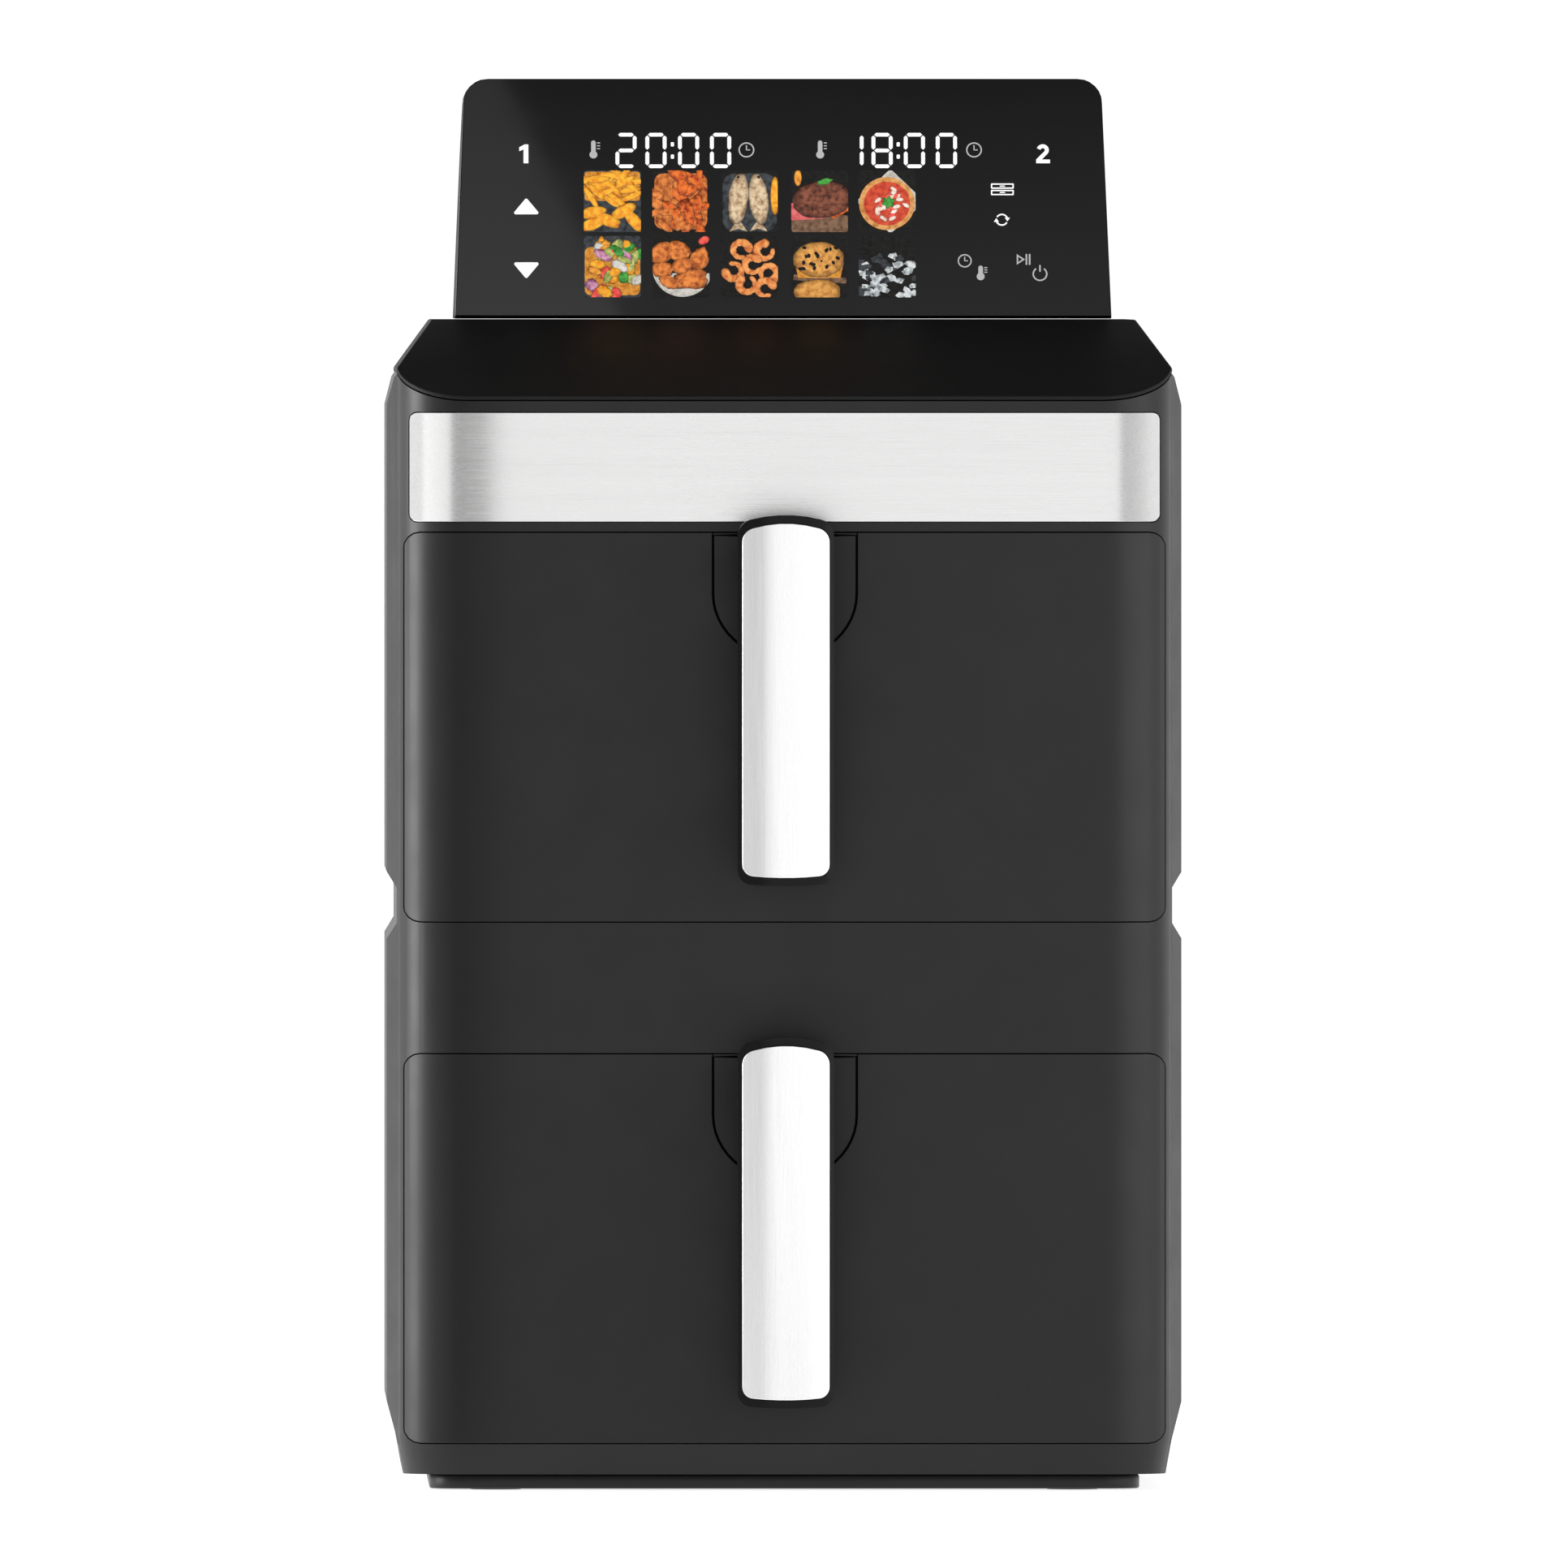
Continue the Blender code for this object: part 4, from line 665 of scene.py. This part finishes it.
def display_print():
    countdown("readout_left", "2000", LEFT_FIGURES, LEFT_COLON, READOUT_Y)
    countdown("readout_right", "1800", RIGHT_FIGURES, RIGHT_COLON, READOUT_Y)
    printed("zone_figure_left", figure_one(-88.0, 58.0))
    printed("zone_figure_right", figure_two(88.5, 58.0))
    printed("more_key", [arrow(-87.4, 39.2, 0)])
    printed("less_key", [arrow(-87.4, 16.3, 180)])
    marks = thermometer(-64.5, 59.6) + thermometer(12.7, 59.6) + clock(-12.4, 59.4) + clock(65.1, 59.4)
    printed("readout_marks", marks, DIM_PRINT)
    printed("both_drawers_key", two_drawers(74.7, 45.3))
    printed("end_together_key", in_step(74.5, 34.4))
    printed("time_and_heat_key", clock(61.8, 19.7, 2.4) + thermometer(67.2, 15.4, 5.2), DIM_PRINT)
    printed("start_and_power_keys", play_pause(81.9, 20.2) + power(87.4, 15.0), DIM_PRINT)


# Food pictures: very low reliefs on the panel's face, cut to their tiles


class Picture:
    """A tile's drawing in millimetres about its middle, built of low blobs, bars and flat shapes."""

    def __init__(self, name, ground):
        self.name = name
        self.edit = bmesh.new()
        # each vertex holds its painted shade, from 0 for the darkest to 1 for none
        self.painted_rim_shade = self.edit.verts.layers.float.new("painted_rim_shade")
        self.materials = [ground]
        self.layer = 0
        self.flat(rounded(TILE_WIDE / 2, TILE_TALL / 2, TILE_CORNER), ground, level=0.0)

    def index(self, material):
        if material not in self.materials:
            self.materials.append(material)
        return self.materials.index(material)

    def flat(self, outline, material, level=None):
        """A flat shape; each is a little higher than the last."""
        self.layer += 1
        height = self.layer * LAYER if level is None else level
        corners = [self.edit.verts.new((x, y, height)) for x, y in outline]
        # flat shapes get an even, middling painted shade
        for corner in corners:
            corner[self.painted_rim_shade] = FLAT_SHADE
        face = self.edit.faces.new(corners)
        face.normal_update()
        if face.normal.z < 0:
            face.normal_flip()
        face.material_index = self.index(material)

    def blob(self, x, y, half_long, half_wide, turn, material, rough=0.0, seed=0):
        """A low rounded lump, uneven where rough is above 0."""
        self.layer += 1
        made = bmesh.ops.create_icosphere(self.edit, subdivisions=3, radius=1)
        turned = Matrix.Rotation(math.radians(turn), 2)
        wobble = random.Random(seed)
        waves = [(wobble.uniform(1, 4), wobble.uniform(0, 6.28), wobble.uniform(-1, 1)) for _ in range(4)]
        number = self.index(material)
        for vertex in made["verts"]:
            px, py, pz = vertex.co
            swing = sum(a * math.sin(k * 3 * px + p) * math.cos(k * 3 * py) for k, p, a in waves)
            swell = 1 + rough * swing / 2
            flat = turned @ Vector((px * half_long * swell, py * half_wide * swell))
            # painted shade: 0 round the lump's rim, 1 on its top
            vertex[self.painted_rim_shade] = max(pz, 0.0)
            vertex.co = (x + flat.x, y + flat.y, self.layer * LAYER + max(pz, -0.2) * RELIEF)
            for face in vertex.link_faces:
                face.material_index = number
                face.smooth = True

    def finish(self, x, y):
        """Cuts the drawing to the tile and lays it on the panel."""
        for sign in (-1, 1):
            for way, half in ((Vector((sign, 0, 0)), TILE_WIDE / 2), (Vector((0, sign, 0)), TILE_TALL / 2)):
                geometry = self.edit.verts[:] + self.edit.edges[:] + self.edit.faces[:]
                bmesh.ops.bisect_plane(
                    self.edit, geom=geometry, plane_co=way * half, plane_no=way, clear_outer=True
                )
        for vertex in self.edit.verts:
            vertex.co = on_panel(x + vertex.co.x, y + vertex.co.y, vertex.co.z * MM * FLATTENED)
        mesh = bpy.data.meshes.new(self.name)
        self.edit.to_mesh(mesh)
        self.edit.free()
        return add_piece(self.name, mesh, self.materials, "housing")


def food_colours():
    """Dark and light colour of each ingredient, linear."""
    colours = {
        "black": ((0.003, 0.003, 0.003), (0.012, 0.011, 0.010)),
        "slate": ((0.010, 0.012, 0.014), (0.07, 0.08, 0.09)),
        "plate": ((0.45, 0.42, 0.36), (0.85, 0.82, 0.75)),
        "board": ((0.10, 0.05, 0.03), (0.30, 0.17, 0.10)),
        "golden": ((0.75, 0.20, 0.01), (1.0, 0.50, 0.04)),
        "amber": ((0.55, 0.16, 0.01), (0.95, 0.42, 0.06)),
        "glazed": ((0.28, 0.02, 0.01), (0.90, 0.20, 0.03)),
        "fried": ((0.30, 0.05, 0.01), (0.90, 0.28, 0.06)),
        "baked_fish": ((0.28, 0.14, 0.06), (0.80, 0.62, 0.40)),
        "grilled": ((0.04, 0.012, 0.008), (0.28, 0.09, 0.05)),
        "rare": ((0.60, 0.05, 0.06), (0.95, 0.22, 0.22)),
        "crust": ((0.55, 0.20, 0.04), (0.95, 0.48, 0.16)),
        "sauce": ((0.55, 0.03, 0.02), (0.85, 0.12, 0.05)),
        "cheese": ((0.80, 0.50, 0.38), (1.0, 0.88, 0.78)),
        "leaf": ((0.01, 0.12, 0.02), (0.08, 0.42, 0.06)),
        "courgette": ((0.12, 0.22, 0.03), (0.62, 0.62, 0.20)),
        "pepper": ((0.65, 0.03, 0.03), (0.95, 0.14, 0.10)),
        "onion": ((0.25, 0.03, 0.14), (0.70, 0.35, 0.50)),
        "prawn": ((0.50, 0.10, 0.02), (0.98, 0.40, 0.12)),
        "sponge": ((0.42, 0.15, 0.03), (0.85, 0.42, 0.10)),
        "ice": ((0.10, 0.13, 0.14), (0.92, 0.96, 0.97)),
    }
    return {key: food("picture_" + key, dark, light) for key, (dark, light) in colours.items()}


def draw_fries(p, c, dice):
    p.flat(moved(rounded(9.4, 5.2, 1.0), 0, 5.4), c["amber"])
    for i in range(26):
        x, y = dice.uniform(-8.5, 8.5), dice.uniform(0, 10)
        long = dice.uniform(3.8, 5.6)
        turn = dice.choice((-1, 1)) * dice.uniform(5, 60)
        p.blob(x, y, long, 1.05, turn, c["golden"], 0.1, i)
    wedges = ((-6.5, -4.0, 12), (-1.6, -6.8, -24), (3.8, -3.6, 30), (7.4, -7.0, -50), (-6.8, -8.2, 20))
    for x, y, turn in wedges:
        p.blob(x, y, 4.8, 2.2, turn, c["golden"], 0.15, int(x * 10))


def draw_wings(p, c, dice):
    p.flat(moved(rounded(9.0, 10.0, 3.0), 0, 0), c["fried"])
    for i in range(30):
        p.blob(dice.uniform(-9, 9), dice.uniform(-9.5, 10), dice.uniform(2.4, 5.0), dice.uniform(1.2, 2.2),
               dice.uniform(0, 180), c["glazed" if i % 3 else "fried"], 0.35, i)


def draw_fish(p, c, dice):
    p.flat(moved(rounded(9.2, 10.4, 4.0), 0.2, -0.4), c["slate"])
    p.blob(8.8, 2.0, 1.6, 7.0, 0, c["golden"], 0.1, 4)
    for x, turn in ((-3.7, 84), (3.2, 96)):
        p.blob(x, 0.8, 9.4, 3.4, turn, c["baked_fish"], 0.12, int(turn))
        p.flat(moved([(-1.0, 0), (-3.0, -3.2), (0, -2.2), (3.0, -3.2), (1.0, 0)], x, -7.6), c["baked_fish"])
        p.blob(x, 8.6, 0.5, 0.5, 0, c["black"])
        for k in range(3):
            p.flat(moved(rounded(1.7, 0.22, 0.15, 1), x, 3.5 - 3 * k, 28), c["board"])


def draw_steak(p, c, dice):
    p.flat(moved(rounded(9.6, 3.0, 0.8), 0, -8.0), c["board"])
    p.blob(0.8, 0.6, 10.4, 6.8, 6, c["grilled"], 0.08, 3)
    p.flat(moved(rounded(6.4, 3.1, 1.2), -4.0, -3.4, 4), c["rare"])
    p.flat(moved(rounded(3.6, 2.7, 1.0), 6.2, -2.4, 30), c["glazed"])
    for x in (-5.6, -2.4, 0.8, 4.0, 7.0):
        p.flat(moved(rounded(0.36, 2.8, 0.2, 1), x, 3.4, -32), c["black"])
    p.blob(-7.4, 8.4, 1.3, 3.0, 0, c["amber"])
    p.blob(1.6, 7.0, 2.6, 1.1, 15, c["leaf"], 0.5, 8)


def draw_pizza(p, c, dice):
    p.flat(moved(rounded(8.2, 8.2, 0.6), 1.2, 0, 45), c["plate"])
    p.flat(arc(0, -0.8, 9.5, 0, 350, 35), c["crust"])
    p.flat(arc(0, -0.8, 7.9, 0, 345, 23), c["sauce"])
    for i in range(26):
        angle, reach = dice.uniform(0, 6.28), dice.uniform(1.5, 7.0)
        kind = "pepper" if i % 4 == 0 else "cheese"
        x, y = reach * math.cos(angle), -0.8 + reach * math.sin(angle) * 0.95
        p.blob(x, y, 1.4, 0.7, dice.uniform(0, 180), c[kind], 0.3, i)
    for turn in (20, 140, 260):
        p.blob(0.4, -0.4, 2.4, 0.9, turn, c["leaf"], 0.2, turn)


def draw_vegetables(p, c, dice):
    p.flat(moved(rounded(9.4, 8.6, 2.0), 0, -1.6), c["amber"])
    kinds = (
        "golden", "pepper", "courgette", "leaf", "golden",
        "onion", "amber", "courgette", "pepper", "plate",
    )
    for i in range(38):
        p.blob(dice.uniform(-9, 9), dice.uniform(-9.6, 7.5), dice.uniform(1.8, 4.2), dice.uniform(1.1, 2.2),
               dice.uniform(0, 180), c[kinds[i % len(kinds)]], 0.25, i)


def draw_drumsticks(p, c, dice):
    p.flat(moved(arc(0, 0, 10.2, 190, 350, 16), 0.5, -0.6), c["plate"])
    places = (
        (-6.4, 5.0, 4.6, 3.6, 40),
        (-1.0, 5.6, 4.6, 3.6, -25),
        (6.4, 3.0, 4.2, 3.2, 70),
        (-6.2, -1.0, 3.8, 3.0, 0),
        (0.4, 0.4, 3.8, 2.8, 20),
        (3.2, -4.6, 6.0, 3.6, 10),
        (-4.2, -5.4, 3.6, 2.2, -30),
    )
    for i, (x, y, a, b, turn) in enumerate(places):
        p.blob(x, y, a, b, turn, c["fried"], 0.3, i)
    p.blob(7.8, 9.4, 2.0, 1.4, 30, c["pepper"], 0.2, 9)


def draw_prawns(p, c, dice):
    rings = (
        (-2.8, 6.0, 20),
        (5.2, 5.6, 100),
        (-5.4, -1.6, 200),
        (1.2, 0.6, 60),
        (6.6, -2.4, 300),
        (-0.8, -6.4, 150),
        (5.4, -7.8, 30),
    )
    joints, curl, radius = 7, 42, 2.7
    for i, (x, y, turn) in enumerate(rings):
        for k in range(joints):
            along = turn + k * curl
            px = x + radius * math.cos(math.radians(along))
            py = y + radius * math.sin(math.radians(along))
            long, wide = 2.1 - k * 0.1, 1.6 - k * 0.12
            p.blob(px, py, long, wide, along + 90, c["prawn"], 0.2, i * joints + k)


def draw_muffins(p, c, dice):
    p.blob(-1.0, -9.0, 8.2, 4.6, 0, c["sponge"], 0.1, 5)
    p.flat(moved(rounded(9.0, 1.0, 0.4), 0, -4.4, -4), c["board"])
    p.flat([(-7.4, -4.0), (7.0, -4.0), (8.0, 1.0), (-8.4, 1.0)], c["amber"])
    p.blob(-0.4, 2.6, 8.8, 6.4, 0, c["sponge"], 0.12, 6)
    for _ in range(18):
        x, y = dice.uniform(-7.0, 6.4), dice.uniform(-1.6, 7.4)
        p.blob(x, y, 0.85, 0.6, dice.uniform(0, 180), c["black"], 0.3)


def draw_ice(p, c, dice):
    for i in range(60):
        x = dice.uniform(-9.4, 9.4)
        y = dice.uniform(-10.5, 4.4 - abs(x) * 0.30)
        corner = dice.uniform(0, 90)
        shard = [(dice.uniform(1.0, 2.2) * math.cos(math.radians(corner + k * 72)),
                  dice.uniform(0.7, 1.7) * math.sin(math.radians(corner + k * 72))) for k in range(5)]
        p.flat(moved(shard, x, y), c["slate" if i % 3 == 0 else "ice"])


def food_pictures():
    c = food_colours()
    drawings = (
        (("fries", draw_fries, "slate"), ("wings", draw_wings, "black"), ("fish", draw_fish, "black"),
         ("steak", draw_steak, "black"), ("pizza", draw_pizza, "black")),
        (("vegetables", draw_vegetables, "slate"), ("drumsticks", draw_drumsticks, "black"),
         ("prawns", draw_prawns, "black"), ("muffins", draw_muffins, "black"), ("ice", draw_ice, "black")),
    )
    for row, y in zip(drawings, TILE_ROWS):
        for (name, draw, ground), x in zip(row, TILE_COLUMNS):
            picture = Picture("picture_" + name, c[ground])
            draw(picture, c, random.Random(name))
            picture.finish(x, y)


# Stage, light and camera


def stage_piece(name, corners, material):
    """A flat four-cornered piece of the stage."""
    mesh = bpy.data.meshes.new(name)
    mesh.from_pydata(corners, [], [(0, 1, 2, 3)])
    mesh.materials.append(material)
    piece = bpy.data.objects.new(name, mesh)
    bpy.context.scene.collection.objects.link(piece)
    return piece


def floor():
    made = Finish("studio_floor", roughness=0.6, specular=0.1)
    made.colour(made.between(made.spread(made.noise(0.6), 0, 1), grey(0.90), grey(0.93)))
    made.shader.inputs["Emission Color"].default_value = (1, 1, 1, 1)
    made.shader.inputs["Emission Strength"].default_value = 0.80
    far = FLOOR_REACH
    corners = [(-far, -far, 0), (far, -far, 0), (far, far, 0), (-far, far, 0)]
    stage_piece("studio_floor", corners, made.material)


def world():
    """A white backdrop, and for the light a room that is dim overhead and a little dim in front."""
    made = bpy.data.worlds.new("studio")
    bpy.context.scene.world = made
    made.use_nodes = True
    tree = made.node_tree
    background = tree.nodes["Background"]
    background.inputs["Color"].default_value = (1, 1, 1, 1)
    direction = tree.nodes.new("ShaderNodeTexCoord").outputs["Generated"]
    axes = tree.nodes.new("ShaderNodeSeparateXYZ")
    tree.links.new(direction, axes.inputs[0])

    def spread(value, start, end, low, high):
        node = tree.nodes.new("ShaderNodeMapRange")
        node.interpolation_type = "SMOOTHSTEP"
        for socket, number in (("From Min", start), ("From Max", end), ("To Min", low), ("To Max", high)):
            node.inputs[socket].default_value = number
        tree.links.new(value, node.inputs["Value"])
        return node.outputs["Result"]

    overhead = spread(axes.outputs["Z"], OVERHEAD_START, OVERHEAD_END, 1.0, OVERHEAD)
    frontal = spread(axes.outputs["Y"], -0.9, 0.2, FRONTAL, BEHIND)
    product = tree.nodes.new("ShaderNodeMath")
    product.operation = "MULTIPLY"
    tree.links.new(overhead, product.inputs[0])
    tree.links.new(frontal, product.inputs[1])
    seen = tree.nodes.new("ShaderNodeMath")
    seen.operation = "MAXIMUM"
    tree.links.new(product.outputs[0], seen.inputs[0])
    tree.links.new(tree.nodes.new("ShaderNodeLightPath").outputs["Is Camera Ray"], seen.inputs[1])
    tree.links.new(seen.outputs[0], background.inputs["Strength"])


def softbox(name, place, aim, wide, tall, radiance):
    """A rectangular area light that faces aim, its brightness given as radiance."""
    light = bpy.data.lights.new(name, "AREA")
    light.shape = "RECTANGLE"
    light.size = wide
    light.size_y = tall
    light.energy = radiance * math.pi * wide * tall
    lamp = bpy.data.objects.new(name, light)
    bpy.context.scene.collection.objects.link(lamp)
    lamp.location = place
    lamp.rotation_euler = (Vector(aim) - Vector(place)).to_track_quat("-Z", "Y").to_euler()
    lamp.visible_camera = False
    return lamp


def fading_glow(name, low, high, bottom, top):
    """Light whose strength goes from bottom at height low to top at height high."""
    glow = bpy.data.materials.new(name)
    glow.use_nodes = True
    tree = glow.node_tree
    tree.nodes.clear()
    emission = tree.nodes.new("ShaderNodeEmission")
    output = tree.nodes.new("ShaderNodeOutputMaterial")
    tree.links.new(emission.outputs[0], output.inputs["Surface"])
    place = tree.nodes.new("ShaderNodeTexCoord").outputs["Object"]
    axes = tree.nodes.new("ShaderNodeSeparateXYZ")
    tree.links.new(place, axes.inputs[0])
    fade = tree.nodes.new("ShaderNodeMapRange")
    for socket, number in (("From Min", low), ("From Max", high), ("To Min", bottom), ("To Max", top)):
        fade.inputs[socket].default_value = number
    tree.links.new(axes.outputs["Z"], fade.inputs["Value"])
    tree.links.new(fade.outputs["Result"], emission.inputs["Strength"])
    return glow


def mirrored_cards():
    """A soft light with a slanting edge that the display panel mirrors, and a dimmer one beside it."""
    mirrored_way = Vector((0, -math.cos(2 * LEAN), math.sin(2 * LEAN)))
    along = Vector((0, math.sin(LEAN), math.cos(LEAN)))
    cards = (("left_card", -CARD_HALF, 0.55, 1.10), ("right_card", CARD_HALF, 0.10, 0.62))
    for name, outer, top, bottom in cards:
        outline = ((outer, CARD_HIGH), (SLANT_HIGH, CARD_HIGH), (SLANT_LOW, CARD_LOW), (outer, CARD_LOW))
        corners = []
        for across, up in outline:
            corners.append(PANEL_FOOT + along * up + Vector((across, 0, 0)) + mirrored_way * CARD_DISTANCE)
        glow = fading_glow(name, corners[2].z, corners[0].z, bottom, top)
        card = stage_piece(name, corners, glow)
        card.visible_camera = False
        card.visible_shadow = False
        card.visible_diffuse = False


def dark_flag():
    """A grey card close before the front's left end, which only reflections see, for the dark streak."""
    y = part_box("front_frame")[0].y - FLAG_GAP
    corners = [(FLAG_LEFT, y, 0), (FLAG_RIGHT, y, 0), (FLAG_RIGHT, y, FLAG_TALL), (FLAG_LEFT, y, FLAG_TALL)]
    flag = stage_piece("dark_flag", corners, lit("flag_cloth", (0.30, 0.30, 0.30), 1.0))
    flag.visible_camera = False
    flag.visible_diffuse = False
    flag.visible_shadow = False


def link_light(lamp, name, state):
    """Keeps a light off one node, or on that node alone."""
    group = bpy.data.collections.new(lamp.name + "_linked")
    group.objects.link(nodes[name])
    for member in group.collection_objects:
        member.light_linking.link_state = state
    lamp.light_linking.receiver_collection = group


def lights():
    for name, (place, aim, wide, tall, radiance) in SOFTBOXES.items():
        lamp = softbox(name, place, aim, wide, tall, radiance)
        if name in BAND_LINKS:
            link_light(lamp, "steel_band", BAND_LINKS[name])
    dark_flag()
    mirrored_cards()


def camera():
    lens = bpy.data.cameras.new("camera")
    lens.sensor_width = SENSOR
    lens.lens = SENSOR * VIEW_DISTANCE / VIEW_TALL
    lens.clip_start, lens.clip_end = 0.1, 100
    eye = bpy.data.objects.new("camera", lens)
    bpy.context.scene.collection.objects.link(eye)
    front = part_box("front_frame")[0].y
    before = VIEW_PIVOT_Y - front
    pivot = Vector((0, VIEW_PIVOT_Y, VIEW_HEIGHT - before * math.tan(VIEW_ELEVATION)))
    reach = VIEW_DISTANCE + before
    level = math.cos(VIEW_ELEVATION)
    across, forward = math.sin(VIEW_AZIMUTH) * level, math.cos(VIEW_AZIMUTH) * level
    way = Vector((across, -forward, math.sin(VIEW_ELEVATION)))
    eye.location = pivot + way * reach
    eye.rotation_euler = (-way).to_track_quat("-Z", "Y").to_euler()
    bpy.context.scene.camera = eye


def picture_settings():
    view = bpy.context.scene.view_settings
    view.view_transform = "Standard"
    view.look = "None"
    view.exposure = 0.0
    view.gamma = 1.0


finish_cad_nodes()
shield_lines()
display_print()
food_pictures()
floor()
world()
lights()
camera()
picture_settings()
